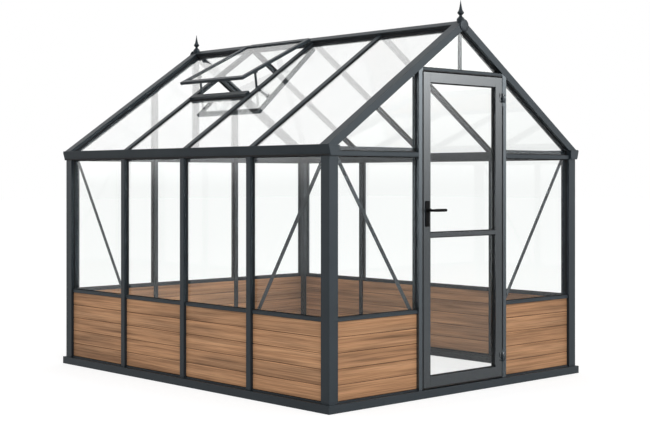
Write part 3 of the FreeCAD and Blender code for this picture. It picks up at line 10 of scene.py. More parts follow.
import bmesh
import bpy
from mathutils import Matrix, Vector

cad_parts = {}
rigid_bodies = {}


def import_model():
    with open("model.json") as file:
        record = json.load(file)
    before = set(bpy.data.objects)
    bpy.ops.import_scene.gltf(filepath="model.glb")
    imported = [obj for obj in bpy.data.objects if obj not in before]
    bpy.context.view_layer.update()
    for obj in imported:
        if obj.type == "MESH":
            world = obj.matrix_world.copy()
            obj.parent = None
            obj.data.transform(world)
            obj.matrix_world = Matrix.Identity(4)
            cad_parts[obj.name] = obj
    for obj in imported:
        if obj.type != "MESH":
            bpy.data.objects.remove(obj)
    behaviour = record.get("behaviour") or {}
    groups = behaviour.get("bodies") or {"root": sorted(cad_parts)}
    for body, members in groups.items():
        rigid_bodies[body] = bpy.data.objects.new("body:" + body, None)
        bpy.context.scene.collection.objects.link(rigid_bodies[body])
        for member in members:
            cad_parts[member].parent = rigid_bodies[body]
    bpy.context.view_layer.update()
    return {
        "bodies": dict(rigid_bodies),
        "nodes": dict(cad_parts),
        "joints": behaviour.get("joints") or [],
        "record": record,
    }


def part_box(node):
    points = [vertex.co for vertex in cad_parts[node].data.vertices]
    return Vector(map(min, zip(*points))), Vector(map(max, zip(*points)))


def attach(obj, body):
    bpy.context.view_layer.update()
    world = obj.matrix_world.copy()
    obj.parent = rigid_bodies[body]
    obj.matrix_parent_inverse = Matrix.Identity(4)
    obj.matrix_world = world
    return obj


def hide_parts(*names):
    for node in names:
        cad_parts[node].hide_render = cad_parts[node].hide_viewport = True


LOG = logging.getLogger("greenhouse")

Point = tuple[float, float, float]
Pair = tuple[float, float]
Colour = tuple[float, float, float, float]
Socket = bpy.types.NodeSocket
Material = bpy.types.Material
Piece = bpy.types.Object
Element = bmesh.types.BMFace | bmesh.types.BMEdge | bmesh.types.BMVert

WHITE: Colour = (1.0, 1.0, 1.0, 1.0)
ORIGIN: Point = (0.0, 0.0, 0.0)
EVEN: Point = (1.0, 1.0, 1.0)
LEFT_TO_RIGHT: Point = (-1.0, 1.0, 1.0)
FRONT_TO_BACK: Point = (1.0, -1.0, 1.0)
QUARTER_TURN = math.radians(90.0)
FACING_FRONT: Point = (QUARTER_TURN, 0.0, 0.0)
ROOF_PITCH = math.radians(34.3)
ALONG = 0.99
MERGE_GAP = 0.00001
EDGE_STEPS = 2
BEAD_STEPS = 3


class Body(str, Enum):
    """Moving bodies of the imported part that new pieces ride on."""

    FRAME = "frame"
    DOOR = "door"
    HANDLE = "handle"


class Slot(str, Enum):
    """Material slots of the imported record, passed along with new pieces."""

    COAT = "coat"
    HANDLE = "handle"


class Axis(IntEnum):
    """Axes of the shared frame: across, along and up."""

    X = 0
    Y = 1
    Z = 2


class Pick(str, Enum):
    """What is picked in an open mesh."""

    FACES = "FACE"
    EDGES = "EDGE"
    CORNERS = "VERT"


def grey(level: float) -> Colour:
    """Opaque grey of one level."""
    return (level, level, level, 1.0)


@dataclass(frozen=True)
class Noise:
    """Grey noise: waves per metre, octaves, weight of the finer ones, bending, stretch along the axes."""

    scale: float = 1.0
    detail: float = 4.0
    roughness: float = 0.55
    distortion: float = 0.0
    stretch: Point = EVEN


class NodeGraph:
    """A node tree that is built step by step."""

    def __init__(self, tree: bpy.types.NodeTree) -> None:
        """Start from a tree."""
        self.tree = tree

    def add(self, kind: str, *inputs: object, **settings: object) -> bpy.types.Node:
        """Add a node with its properties and inputs.

        Args:
            kind: Blender's name of the node type.
            inputs: Outputs or values for the inputs that the properties leave in use, in order.
            settings: Properties of the node, or inputs named with underscores for spaces.

        Returns:
            The new node.
        """
        node = self.tree.nodes.new(kind)
        for name, setting in settings.items():
            if hasattr(node, name):
                setattr(node, name, setting)
            else:
                self.give(setting, node.inputs[name.replace("_", " ")])
        for value, target in zip(inputs, [socket for socket in node.inputs if socket.enabled]):
            self.give(value, target)
        return node

    def give(self, value: object, target: Socket) -> None:
        """Link an output to an input, or set the input to a value.

        Args:
            value: The output or the value, or None to leave the input as it is.
            target: The input.
        """
        if isinstance(value, bpy.types.NodeSocket):
            self.tree.links.new(value, target)
        elif value is not None:
            target.default_value = value

    def math(self, operation: str, *values: Socket | float) -> Socket:
        """Result of a sum on outputs and numbers."""
        return self.add("ShaderNodeMath", *values, operation=operation).outputs[0]

    def spread(self, value: Socket, low: float, high: float, start: float = 0.0, end: float = 1.0) -> Socket:
        """A value mapped from one range to another and held at its ends.

        Args:
            value: Value to map.
            low: Result at the start of the source range.
            high: Result at its end.
            start: Start of the source range.
            end: End of the source range.

        Returns:
            The mapped value.
        """
        node = self.add("ShaderNodeMapRange", Value=value, From_Min=start, From_Max=end, To_Min=low,
                        To_Max=high)
        return node.outputs["Result"]

    def parts(self, vector: Socket) -> list[Socket]:
        """The three numbers of a vector."""
        return list(self.add("ShaderNodeSeparateXYZ", Vector=vector).outputs)


class Surface(NodeGraph):
    """A material's tree, with a principled shader and object coordinates."""

    def __init__(self, name: str) -> None:
        """Start an empty material.

        Args:
            name: Name of the material.
        """
        self.material: Material = bpy.data.materials.new(name)
        self.material.use_nodes = True
        super().__init__(self.material.node_tree)
        self.shader: bpy.types.Node = self.tree.nodes["Principled BSDF"]
        self.place: Socket = self.add("ShaderNodeTexCoord").outputs["Object"]

    def stretched(self, scale: Point) -> Socket:
        """Object coordinates under a scale along the three axes."""
        return self.add("ShaderNodeMapping", Vector=self.place, Scale=scale).outputs["Vector"]

    def noise(self, pattern: Noise, place: Socket | None = None) -> Socket:
        """Grey noise over the surface.

        Args:
            pattern: The noise.
            place: Coordinates to read it at, or None for the object's own, stretched.

        Returns:
            The noise value.
        """
        node = self.add("ShaderNodeTexNoise", Scale=pattern.scale, Detail=pattern.detail,
                        Roughness=pattern.roughness, Distortion=pattern.distortion,
                        Vector=place or self.stretched(pattern.stretch))
        return node.outputs["Fac"]

    def ramp(self, value: Socket, places: Sequence[float], colours: Sequence[Colour]) -> Socket:
        """Colours along a value.

        Args:
            value: Value from 0 to 1.
            places: Places of the colours, in order.
            colours: The colours.

        Returns:
            The colour.
        """
        node = self.add("ShaderNodeValToRGB", Fac=value)
        elements = node.color_ramp.elements
        while len(elements) < len(places):
            elements.new(1.0)
        for element, place, colour in zip(elements, places, colours):
            element.position = place
            element.color = colour
        return node.outputs["Color"]

    def multiply(self, first: Socket, second: Socket) -> Socket:
        """Product of two colours."""
        node = self.add("ShaderNodeMix", 1.0, first, second, data_type="RGBA", blend_type="MULTIPLY")
        return next(socket for socket in node.outputs if socket.enabled)

    def bump(self, height: Socket, strength: float, distance: float, normal: Socket | None = None) -> Socket:
        """Normal bent by a height from 0 to 1 that stands for a distance in metres."""
        node = self.add("ShaderNodeBump", Strength=strength, Distance=distance, Height=height, Normal=normal)
        return node.outputs["Normal"]

    def feed(self, **values: object) -> None:
        """Give the shader's inputs their outputs or values, named with underscores for spaces."""
        for name, value in values.items():
            self.give(value, self.shader.inputs[name.replace("_", " ")])


@dataclass(frozen=True)
class TwoTone:
    """Finish between two tones: patches of both, spots of more and less gloss, a fine relief."""

    name: str
    dark: Colour
    light: Colour
    roughness: Pair
    patches: Noise
    spots: Noise
    relief: Noise
    relief_strength: float
    relief_height: float
    specular: float = 0.5
    metallic: float = 0.0
    sheen_tint: Colour = WHITE
    patch_stops: Pair = (0.3, 0.7)

    def material(self) -> Material:
        """Build the finish.

        Returns:
            The material.
        """
        graph = Surface(self.name)
        colour = graph.ramp(graph.noise(self.patches), self.patch_stops, (self.dark, self.light))
        gloss = graph.spread(graph.noise(self.spots), *self.roughness)
        relief = graph.bump(graph.noise(self.relief), self.relief_strength, self.relief_height)
        graph.feed(Base_Color=colour, Roughness=gloss, Normal=relief, Metallic=self.metallic,
                   Specular_IOR_Level=self.specular, Specular_Tint=self.sheen_tint)
        return graph.material


@dataclass(frozen=True)
class PowderCoat(TwoTone):
    """Fine satin powder coat with a faint orange peel and dustier patches."""

    dark: Colour = (0.0125, 0.0165, 0.0200, 1.0)
    light: Colour = (0.0175, 0.0230, 0.0280, 1.0)
    roughness: Pair = (0.36, 0.46)
    patches: Noise = Noise(3.5, 5.0, 0.6)
    spots: Noise = Noise(24.0)
    relief: Noise = Noise(1500.0, 2.0)
    relief_strength: float = 0.06
    relief_height: float = 0.00005
    specular: float = 0.28
    sheen_tint: Colour = (0.82, 0.93, 1.0, 1.0)


@dataclass(frozen=True)
class SmallMetal(TwoTone):
    """Cast or plated small metal with fine scratches."""

    patches: Noise = Noise(60.0)
    spots: Noise = Noise(detail=3.0, stretch=(40.0, 40.0, 900.0))
    relief: Noise = Noise(detail=3.0, stretch=(40.0, 40.0, 900.0))
    relief_strength: float = 0.1
    relief_height: float = 0.0001


@dataclass(frozen=True)
class Rubber(TwoTone):
    """Dull black rubber of the gaskets and seals, with a faint bloom."""

    dark: Colour = (0.006, 0.006, 0.0065, 1.0)
    light: Colour = (0.014, 0.014, 0.015, 1.0)
    roughness: Pair = (0.62, 0.8)
    patches: Noise = Noise(140.0, 3.0)
    spots: Noise = Noise(140.0, 3.0)
    relief: Noise = Noise(140.0, 3.0)
    relief_strength: float = 0.2
    relief_height: float = 0.0001
    specular: float = 0.3
    patch_stops: Pair = (0.35, 0.7)


@dataclass(frozen=True)
class Grain:
    """Noise drawn out along a board, with its waves per metre along and across it."""

    along: float
    across: float
    noise: Noise


@dataclass(frozen=True)
class BoardFinish:
    """Wood-look boards: soft streaks and clouds, fine lines, painted shade in the seam under each board and a
    painted highlight along its top edge.
    """

    name: str
    axis: Axis
    pale: Colour = (0.575, 0.323, 0.172, 1.0)
    middle: Colour = (0.440, 0.235, 0.121, 1.0)
    dark: Colour = (0.240, 0.128, 0.069, 1.0)
    board_pitch: float = 0.0836
    board_start: float = 0.053
    board_step: Point = (3.7, 5.3, 1.9)
    streaks: Grain = Grain(0.9, 38.0, Noise(1.0, 5.0, 0.6, 0.05))
    streak_stops: Point = (0.27, 0.46, 0.68)
    streak_relief: Pair = (0.2, 0.0008)
    clouds: Grain = Grain(1.2, 11.0, Noise(1.0, 3.0, 0.5, 0.08))
    cloud_stops: Pair = (0.34, 0.58)
    cloud_tones: tuple[Colour, Colour] = ((0.74, 0.75, 0.77, 1.0), (1.05, 1.04, 1.03, 1.0))
    lines: Grain = Grain(2.6, 190.0, Noise(1.0, 3.0, 0.6))
    line_stops: Pair = (0.36, 0.56)
    line_tones: Pair = (0.70, 1.07)
    line_relief: Pair = (0.25, 0.0004)
    # Painted shade over the lowest few millimetres of each board, in the seam, and a painted highlight along
    # its top edge.
    seam_shade_highlight_stops: tuple[float, ...] = (0.0, 0.034, 0.05, 0.935, 0.96)
    seam_shade_highlight_tones: tuple[float, ...] = (0.10, 0.28, 1.0, 1.0, 1.3)
    roughness: Pair = (0.66, 0.50)
    specular: float = 0.18

    def material(self) -> Material:
        """Build the boards' finish, with the grain along one axis.

        Returns:
            The material.
        """
        graph = Surface(self.name)
        height = graph.math("SUBTRACT", graph.parts(graph.place)[Axis.Z], self.board_start)
        level = graph.math("DIVIDE", height, self.board_pitch)
        board = graph.math("FLOOR", level)
        streaks = self.drawn(graph, board, self.streaks)
        clouds = self.drawn(graph, board, self.clouds)
        lines = self.drawn(graph, board, self.lines)
        colour = graph.ramp(streaks, self.streak_stops, (self.dark, self.middle, self.pale))
        shade = graph.ramp(clouds, self.cloud_stops, self.cloud_tones)
        fine = graph.ramp(lines, self.line_stops, [grey(tone) for tone in self.line_tones])
        # Darkens the foot of each board as painted shade in the seam and lightens its top edge as a painted
        # highlight.
        seam = graph.math("FRACT", level)
        seam_shade_highlight = graph.ramp(seam, self.seam_shade_highlight_stops, [grey(tone) for tone in self.seam_shade_highlight_tones])
        shaded = graph.multiply(graph.multiply(colour, shade), graph.multiply(fine, seam_shade_highlight))
        relief = graph.bump(lines, *self.line_relief, graph.bump(streaks, *self.streak_relief))
        graph.feed(Base_Color=shaded, Roughness=graph.spread(streaks, *self.roughness), Normal=relief,
                   Specular_IOR_Level=self.specular)
        return graph.material

    def drawn(self, graph: Surface, board: Socket, grain: Grain) -> Socket:
        """Noise drawn out along the boards and moved on from board to board.

        Args:
            graph: Node tree to add to.
            board: Number of the board.
            grain: The noise.

        Returns:
            The noise value.
        """
        scale = [grain.across] * len(Axis)
        scale[self.axis] = grain.along
        steps = [graph.math("MULTIPLY", board, step) for step in self.board_step]
        offset = graph.add("ShaderNodeCombineXYZ", *steps).outputs[0]
        moved = graph.add("ShaderNodeVectorMath", graph.stretched(tuple(scale)), offset, operation="ADD")
        return graph.noise(grain.noise, moved.outputs[0])


@dataclass(frozen=True)
class ClearGlass:
    """Toughened pane with a faint green body; a stronger coat mirrors the sky on a sloping pane."""

    name: str
    ior: float = 1.3
    coat: float = 0.0
    coat_ior: float = 1.5
    coat_roughness: float = 0.02
    tint: Colour = (0.972, 0.983, 0.978, 1.0)
    waves: Noise = Noise(2.2, 2.0)
    wave_relief: Pair = (0.05, 0.002)
    smears: Noise = Noise(9.0)
    roughness: Pair = (0.0, 0.02)

    def material(self) -> Material:
        """Build the glass.

        Returns:
            The material.
        """
        graph = Surface(self.name)
        relief = graph.bump(graph.noise(self.waves), *self.wave_relief)
        gloss = graph.spread(graph.noise(self.smears), *self.roughness)
        graph.feed(Base_Color=self.tint, Roughness=gloss, Normal=relief, Transmission_Weight=1.0,
                   IOR=self.ior, Coat_Weight=self.coat, Coat_IOR=self.coat_ior,
                   Coat_Roughness=self.coat_roughness)
        return graph.material


def deselect_all() -> None:
    """Go to object mode with nothing selected."""
    if bpy.context.object is not None and bpy.context.object.mode != "OBJECT":
        bpy.ops.object.mode_set(mode="OBJECT")
    bpy.ops.object.select_all(action="DESELECT")


def activate(obj: Piece) -> None:
    """Select one object alone and make it the active one.

    Args:
        obj: The object.
    """
    deselect_all()
    bpy.context.view_layer.objects.active = obj
    obj.select_set(True)


def edit(obj: Piece) -> None:
    """Open an object's mesh with all its faces selected.

    Args:
        obj: The object.
    """
    activate(obj)
    bpy.ops.object.mode_set(mode="EDIT")
    bpy.ops.mesh.select_mode(type="FACE")
    bpy.ops.mesh.select_all(action="SELECT")


def pick(obj: Piece, kind: Pick, test: Callable[[Element], bool]) -> None:
    """Select faces, edges or corners of the open mesh.

    Args:
        obj: Object in edit mode.
        kind: What is selected.
        test: Says for each one whether it is wanted.
    """
    bpy.ops.mesh.select_mode(type=kind.value)
    bpy.ops.mesh.select_all(action="DESELECT")
    mesh = bmesh.from_edit_mesh(obj.data)
    elements = {Pick.FACES: mesh.faces, Pick.EDGES: mesh.edges, Pick.CORNERS: mesh.verts}
    for element in elements[kind]:
        if test(element):
            element.select_set(True)
    mesh.select_flush_mode()
    bmesh.update_edit_mesh(obj.data)


def pick_along(obj: Piece, axis: Axis) -> None:
    """Select the edges of the open mesh that run along an axis."""
    pick(obj, Pick.EDGES, lambda edge: abs((edge.verts[1].co - edge.verts[0].co).normalized()[axis]) > ALONG)


def pick_front(obj: Piece) -> None:
    """Select the faces of the open mesh that look to the front."""
    pick(obj, Pick.FACES, lambda face: face.normal.y < -ALONG)


def extrude(move: Point) -> None:
    """Extrude the selected faces along a move."""
    bpy.ops.mesh.extrude_region_move(TRANSFORM_OT_translate={"value": move})


def resize(factors: Point, centre: Point) -> None:
    """Scale what is selected about a point."""
    bpy.ops.transform.resize(value=factors, center_override=centre)


def draw_out(move: Point, factors: Point, centre: Point) -> None:
    """Extrude the selected face along a move and scale its new end about a point."""
    extrude(move)
    resize(factors, centre)


def draw_rings(rings: Sequence[Pair], axis: Point, centre: Point) -> None:
    """Draw the selected round face out ring by ring.

    Args:
        rings: Radius and height of every ring, from the face itself.
        axis: Direction and scale of the heights.
        centre: A point on the axis.
    """
    for (radius, height), (next_radius, next_height) in zip(rings, rings[1:]):
        factor = next_radius / radius
        move = tuple((next_height - height) * part for part in axis)
        draw_out(move, tuple(1.0 if part else factor for part in axis), centre)


def settle(obj: Piece) -> Piece:
    """Put an object's place into its mesh, with doubles merged and normals outward.

    Args:
        obj: Object to settle.

    Returns:
        The same object.
    """
    activate(obj)
    bpy.ops.object.transform_apply(location=True, rotation=True, scale=True)
    edit(obj)
    bpy.ops.mesh.remove_doubles(threshold=MERGE_GAP)
    bpy.ops.mesh.normals_make_consistent(inside=False)
    bpy.ops.object.mode_set(mode="OBJECT")
    return obj


def disc(middle: Point, radius: float, sides: int, turn: Point = ORIGIN) -> Piece:
    """Round face that a piece is drawn out from.

    Args:
        middle: Its middle.
        radius: Its radius.
        sides: Number of its sides.
        turn: Its turn about the three axes.

    Returns:
        The face.
    """
    deselect_all()
    bpy.ops.mesh.primitive_circle_add(vertices=sides, radius=radius, fill_type="NGON", location=middle,
                                      rotation=turn)
    return settle(bpy.context.object)


def flat(middle: Point, size: Pair, turn: Point) -> Piece:
    """Flat face of a pane.

    Args:
        middle: Its middle.
        size: Its two sides.
        turn: Its turn about the three axes.

    Returns:
        The face.
    """
    deselect_all()
    bpy.ops.mesh.primitive_plane_add(size=1.0, location=middle, rotation=turn)
    bpy.context.object.scale = (*size, 1.0)
    return settle(bpy.context.object)


def block(middle: Point, size: Point, turn: Point = ORIGIN) -> Piece:
    """Block that a piece is cut from.

    Args:
        middle: Its middle.
        size: Its three sides.
        turn: Its turn about the three axes.

    Returns:
        The block.
    """
    deselect_all()
    bpy.ops.mesh.primitive_cube_add(size=1.0, location=middle, rotation=turn, scale=size)
    return settle(bpy.context.object)


def stud(foot: Point, radius: float, height: float, sides: int) -> Piece:
    """Short round rod that stands out of a face to the front.

    Args:
        foot: Middle of its foot.
        radius: Its radius.
        height: How far it stands out.
        sides: Number of its sides.

    Returns:
        The rod.
    """
    middle = (foot[0], foot[1] - height / 2.0, foot[2])
    deselect_all()
    bpy.ops.mesh.primitive_cylinder_add(vertices=sides, radius=radius, depth=height, location=middle,
                                        rotation=FACING_FRONT)
    return settle(bpy.context.object)


def sink(obj: Piece, rim: float, depth: float) -> None:
    """Sink a recess into the front of the open mesh.

    Args:
        obj: Object in edit mode.
        rim: Width of the rim that is left.
        depth: Depth of the recess.
    """
    pick_front(obj)
    bpy.ops.mesh.inset(thickness=rim)
    extrude((0.0, depth, 0.0))


def bead(middle: Point, size: Point, axis: Axis, corner: float, lean: float = 0.0) -> Piece:
    """Straight bead with rounded long edges.

    Args:
        middle: Its middle.
        size: Its size along the three axes.
        axis: Axis that it runs along.
        corner: Size of the rounding.
        lean: Turn about the Y axis.

    Returns:
        The bead.
    """
    obj = block(middle, size, (0.0, lean, 0.0))
    edit(obj)
    pick_along(obj, axis)
    bpy.ops.mesh.bevel(offset=corner, segments=BEAD_STEPS, affect="EDGES")
    return smoothed(settle(obj))


def copied(obj: Piece, move: Point = ORIGIN) -> Piece:
    """Copy an object with its own mesh.

    Args:
        obj: Settled object to copy.
        move: How far the copy is moved.

    Returns:
        The settled copy.
    """
    activate(obj)
    bpy.ops.object.duplicate(linked=False)
    copy = bpy.context.object
    copy.location = move
    return settle(copy)


def mirrored(obj: Piece, factors: Point, centre: Point = ORIGIN) -> Piece:
    """Copy an object to the other side of a plane.

    Args:
        obj: Settled object to copy.
        factors: -1 for the axis that is turned round and 1 for the others.
        centre: A point of the plane.

    Returns:
        The settled copy.
    """
    copy = copied(obj)
    edit(copy)
    resize(factors, centre)
    return settle(copy)


def joined(pieces: Sequence[Piece]) -> Piece:
    """Join objects into the first one.

    Args:
        pieces: Objects to join.

    Returns:
        The joined object.
    """
    activate(pieces[0])
    for piece in pieces:
        piece.select_set(True)
    bpy.ops.object.join()
    return bpy.context.object


def modified(obj: Piece, kind: str, **settings: object) -> str:
    """Add a modifier.

    Args:
        obj: Object to change.
        kind: Blender's name of the modifier type.
        settings: Its properties.

    Returns:
        Name of the modifier.
    """
    modifier = obj.modifiers.new(kind.lower(), kind)
    for name, setting in settings.items():
        setattr(modifier, name, setting)
    return modifier.name


def finished(obj: Piece, kind: str, **settings: object) -> Piece:
    """Add a modifier and apply it.

    Args:
        obj: Object to change.
        kind: Blender's name of the modifier type.
        settings: Its properties.

    Returns:
        The same object.
    """
    activate(obj)
    bpy.ops.object.modifier_apply(modifier=modified(obj, kind, **settings))
    return obj


def rounded(obj: Piece, width: float) -> Piece:
    """Round an object's sharp edges."""
    return settle(finished(obj, "BEVEL", width=width, segments=EDGE_STEPS, limit_method="ANGLE"))


def smoothed(obj: Piece, angle: float = 35.0) -> Piece:
    """Shade an object smooth except over sharp edges.

    Args:
        obj: The object.
        angle: Angle in degrees from which an edge is sharp.

    Returns:
        The same object.
    """
    activate(obj)
    bpy.ops.object.shade_smooth_by_angle(angle=math.radians(angle))
    return obj


def dress(obj: Piece, material: Material) -> None:
    """Give an object one material."""
    obj.data.materials.clear()
    obj.data.materials.append(material)


def hand_over(obj: Piece, name: str, finish: Material, body: Body, slot: Slot, *replaced: str) -> None:
    """Name and dress a finished piece and fix it to its body.

    Args:
        obj: The piece.
        name: Its name.
        finish: Its material.
        body: The body it rides on.
        slot: The record's slot of its finish; not used.
        replaced: CAD nodes that it stands for.
    """
    obj.name = name
    obj.data.name = name
    dress(obj, finish)
    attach(obj, body.value)
    if replaced:
        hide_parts(*replaced)
    LOG.info("built %s with %d faces", name, len(obj.data.polygons))


@dataclass
class Carried:
    """CAD nodes that stay as they are: they get a finish and softly broken edges."""

    nodes: Sequence[str]
    finish: Material
    edge: float = 0.0008
    edge_angle: float = math.radians(40.0)

    def dress(self, frame: dict) -> None:
        """Dress the nodes.

        Args:
            frame: The loaded frame.
        """
        for name in self.nodes:
            obj = frame["nodes"][name]
            dress(obj, self.finish)
            if self.edge > 0.0:
                modified(obj, "WELD", merge_threshold=MERGE_GAP)
                modified(obj, "BEVEL", width=self.edge, segments=EDGE_STEPS, limit_method="ANGLE",
                         angle_limit=self.edge_angle, harden_normals=True)
            LOG.info("dressed %s with %s", name, self.finish.name)


@dataclass
class Finials:
    """Turned finials that stand astride the two ends of the ridge."""

    finish: Material
    sides: int = 40
    height: float = 0.118
    base_radius: float = 0.023
    wedge_half: float = 0.06
    wedge_length: float = 0.1
    rings: tuple[Pair, ...] = (
        (0.0212, -0.0133), (0.0226, -0.0040), (0.0230, 0.0040), (0.0221, 0.0100), (0.0186, 0.0155),
        (0.0132, 0.0205), (0.0096, 0.0245), (0.0085, 0.0280), (0.0091, 0.0315), (0.0126, 0.0355),
        (0.0170, 0.0395), (0.0190, 0.0440), (0.0189, 0.0475), (0.0168, 0.0510), (0.0139, 0.0540),
        (0.0118, 0.0580), (0.0095, 0.0665), (0.0073, 0.0770), (0.0052, 0.0880), (0.0034, 0.0990),
        (0.0019, 0.1100), (0.0008, 0.1165),
    )

    def build(self) -> None:
        """Make both finials."""
        low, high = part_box("finials")
        front = low[1] + self.base_radius
        back = high[1] - self.base_radius
        first = self.turned(front, high[2] - self.height)
        second = copied(first, (0.0, back - front, 0.0))
        pair = smoothed(joined([first, second]))
        hand_over(pair, "finial_pair", self.finish, Body.FRAME, Slot.COAT, "finials")

    def turned(self, along: float, apex: float) -> Piece:
        """One finial, drawn up ring by ring and notched for the ridge.

        Args:
            along: Its place along the ridge.
            apex: Height of the ridge line.

        Returns:
            The finial.
        """
        radius, foot = self.rings[0]
        obj = disc((0.0, along, apex + foot), radius, self.sides)
        edit(obj)
        draw_rings(self.rings, (0.0, 0.0, 1.0), (0.0, along, apex))
        extrude((0.0, 0.0, self.height - self.rings[-1][1]))
        bpy.ops.mesh.merge(type="CENTER")
        settle(obj)
        wedge = self.ridge_wedge(along, apex)
        finished(obj, "BOOLEAN", operation="DIFFERENCE", object=wedge, solver="EXACT")
        bpy.data.objects.remove(wedge)
        return obj

    def ridge_wedge(self, along: float, apex: float) -> Piece:
        """Block with the ridge's two slopes, for the notch.

        Args:
            along: Its place along the ridge.
            apex: Height of the ridge line.

        Returns:
            The block.
        """
        rise = self.wedge_half * math.tan(ROOF_PITCH)
        size = (2.0 * self.wedge_half, self.wedge_length, rise)
        obj = block((0.0, along, apex - rise / 2.0), size)
        edit(obj)
        pick(obj, Pick.FACES, lambda face: face.normal.z > ALONG)
        resize((0.0, 1.0, 1.0), (0.0, along, apex))
        return settle(obj)


@dataclass
class RidgeCaps:
    """Domed caps on the two ends of the ridge."""

    finish: Material
    sides: int = 32
    sharp: float = 50.0
    rings: tuple[Pair, ...] = ((1.0, 0.0), (1.0, 0.35), (0.96, 0.62), (0.84, 0.85), (0.60, 0.97), (0.30, 1.0))

    def build(self) -> None:
        """Draw the front cap out to a dome and turn a copy to the back."""
        low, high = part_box("ridge_end_caps")
        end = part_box("ridge_beam")[0][1]
        foot = (0.0, end, (low[2] + high[2]) / 2.0)
        front = disc(foot, (high[0] - low[0]) / 2.0, self.sides, FACING_FRONT)
        edit(front)
        draw_rings(self.rings, (0.0, low[1] - end, 0.0), foot)
        settle(front)
        back = mirrored(front, FRONT_TO_BACK, (0.0, (low[1] + high[1]) / 2.0, 0.0))
        pair = smoothed(joined([front, back]), self.sharp)
        hand_over(pair, "ridge_caps", self.finish, Body.FRAME, Slot.COAT, "ridge_end_caps")


@dataclass
class LeverSet:
    """The two lever handles: round neck, drawn elbow, flattened grip with a rounded end."""

    finish: Material
    sides: int = 16
    sharp: float = 60.0
    neck_radius: float = 0.0075
    neck_length: float = 0.021
    neck_ring: float = 0.001
    elbow_radius: float = 0.014
    elbow_steps: int = 7
    smoothing: int = 2
    grip_runs: tuple[Point, ...] = ((0.012, 0.72, 1.18), (0.040, 0.97, 0.97), (0.046, 1.02, 1.02),
                                    (0.005, 0.86, 0.86), (0.0025, 0.5, 0.5))

    def build(self) -> None:
        """Make the outer lever and its mirror image inside."""
        low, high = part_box("lever_handles")
        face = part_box("handle_plates")[0][1]
        level = (low[2] + high[2]) / 2.0
        pivot = low[0] + (high[2] - low[2]) / 2.0
        outer = self.drawn((pivot, face, level))
        inner = mirrored(outer, FRONT_TO_BACK, (pivot, (low[1] + high[1]) / 2.0, level))
        pair = smoothed(joined([outer, inner]), self.sharp)
        hand_over(pair, "door_levers", self.finish, Body.HANDLE, Slot.HANDLE, "lever_handles")

    def drawn(self, root: Point) -> Piece:
        """One lever, drawn out from the plate.

        Args:
            root: Where its neck leaves the plate.

        Returns:
            The lever.
        """
        x, y, z = root
        obj = disc(root, self.neck_radius, self.sides, FACING_FRONT)
        edit(obj)
        extrude((0.0, -self.neck_ring, 0.0))
        extrude((0.0, self.neck_ring - self.neck_length, 0.0))
        y -= self.neck_length
        x += self.elbow_radius
        bpy.ops.mesh.spin(steps=self.elbow_steps, angle=QUARTER_TURN, center=(x, y, z), axis=(0.0, 0.0, -1.0))
        y -= self.elbow_radius
        for run, thickness, height in self.grip_runs:
            x += run
            draw_out((run, 0.0, 0.0), (1.0, thickness, height), (x, y, z))
        settle(obj)
        return finished(obj, "SUBSURF", levels=self.smoothing, render_levels=self.smoothing)


@dataclass(frozen=True)
class Boss:
    """Sizes of a round boss with a recess inside its rim."""

    radius: float
    height: float
    rim: float


@dataclass
class HandlePlates:
    """Rounded backplates with a collar for the lever, a key cylinder and two screws."""

    finish: Material
    thickness: float = 0.006
    corner: float = 0.0075
    corner_steps: int = 5
    edge: float = 0.0012
    collar: Boss = Boss(0.0115, 0.004, 0.0022)
    cylinder: Boss = Boss(0.0085, 0.0022, 0.005)
    cylinder_drop: float = 0.062
    screw: Boss = Boss(0.0035, 0.0012, 0.0015)
    screw_inset: float = 0.011
    boss_sides: int = 24
    boss_edge: float = 0.0004

    def build(self) -> None:
        """Make the outer plate and its mirror image inside."""
        low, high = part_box("handle_plates")
        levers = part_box("lever_handles")
        pivot = (levers[0][2] + levers[1][2]) / 2.0
        across = (low[0] + high[0]) / 2.0
        face = low[1]
        middle = (across, face + self.thickness / 2.0, (low[2] + high[2]) / 2.0)
        plate = self.plate(middle, (high[0] - low[0], self.thickness, high[2] - low[2]))
        collar = self.boss((across, face, pivot), self.collar)
        lock = self.boss((across, face, pivot - self.cylinder_drop), self.cylinder)
        screw = self.boss((across, face, low[2] + self.screw_inset), self.screw)
        upper = copied(screw, (0.0, 0.0, high[2] - low[2] - 2.0 * self.screw_inset))
        outer = joined([plate, collar, lock, screw, upper])
        inner = mirrored(outer, FRONT_TO_BACK, (across, (low[1] + high[1]) / 2.0, pivot))
        pair = smoothed(joined([outer, inner]))
        hand_over(pair, "door_handle_plates", self.finish, Body.DOOR, Slot.HANDLE, "handle_plates")

    def plate(self, middle: Point, size: Point) -> Piece:
        """Backplate with rounded corners and a softened rim.

        Args:
            middle: Its middle.
            size: Its width, thickness and height.

        Returns:
            The plate.
        """
        obj = block(middle, size)
        edit(obj)
        pick_along(obj, Axis.Y)
        bpy.ops.mesh.bevel(offset=self.corner, segments=self.corner_steps, affect="EDGES")
        return rounded(settle(obj), self.edge)

    def boss(self, foot: Point, sizes: Boss) -> Piece:
        """Round boss on the plate's face with a recess half as deep.

        Args:
            foot: Middle of its foot.
            sizes: Its sizes.

        Returns:
            The boss.
        """
        obj = stud(foot, sizes.radius, sizes.height, self.boss_sides)
        edit(obj)
        sink(obj, sizes.rim, sizes.height / 2.0)
        return rounded(settle(obj), self.boss_edge)


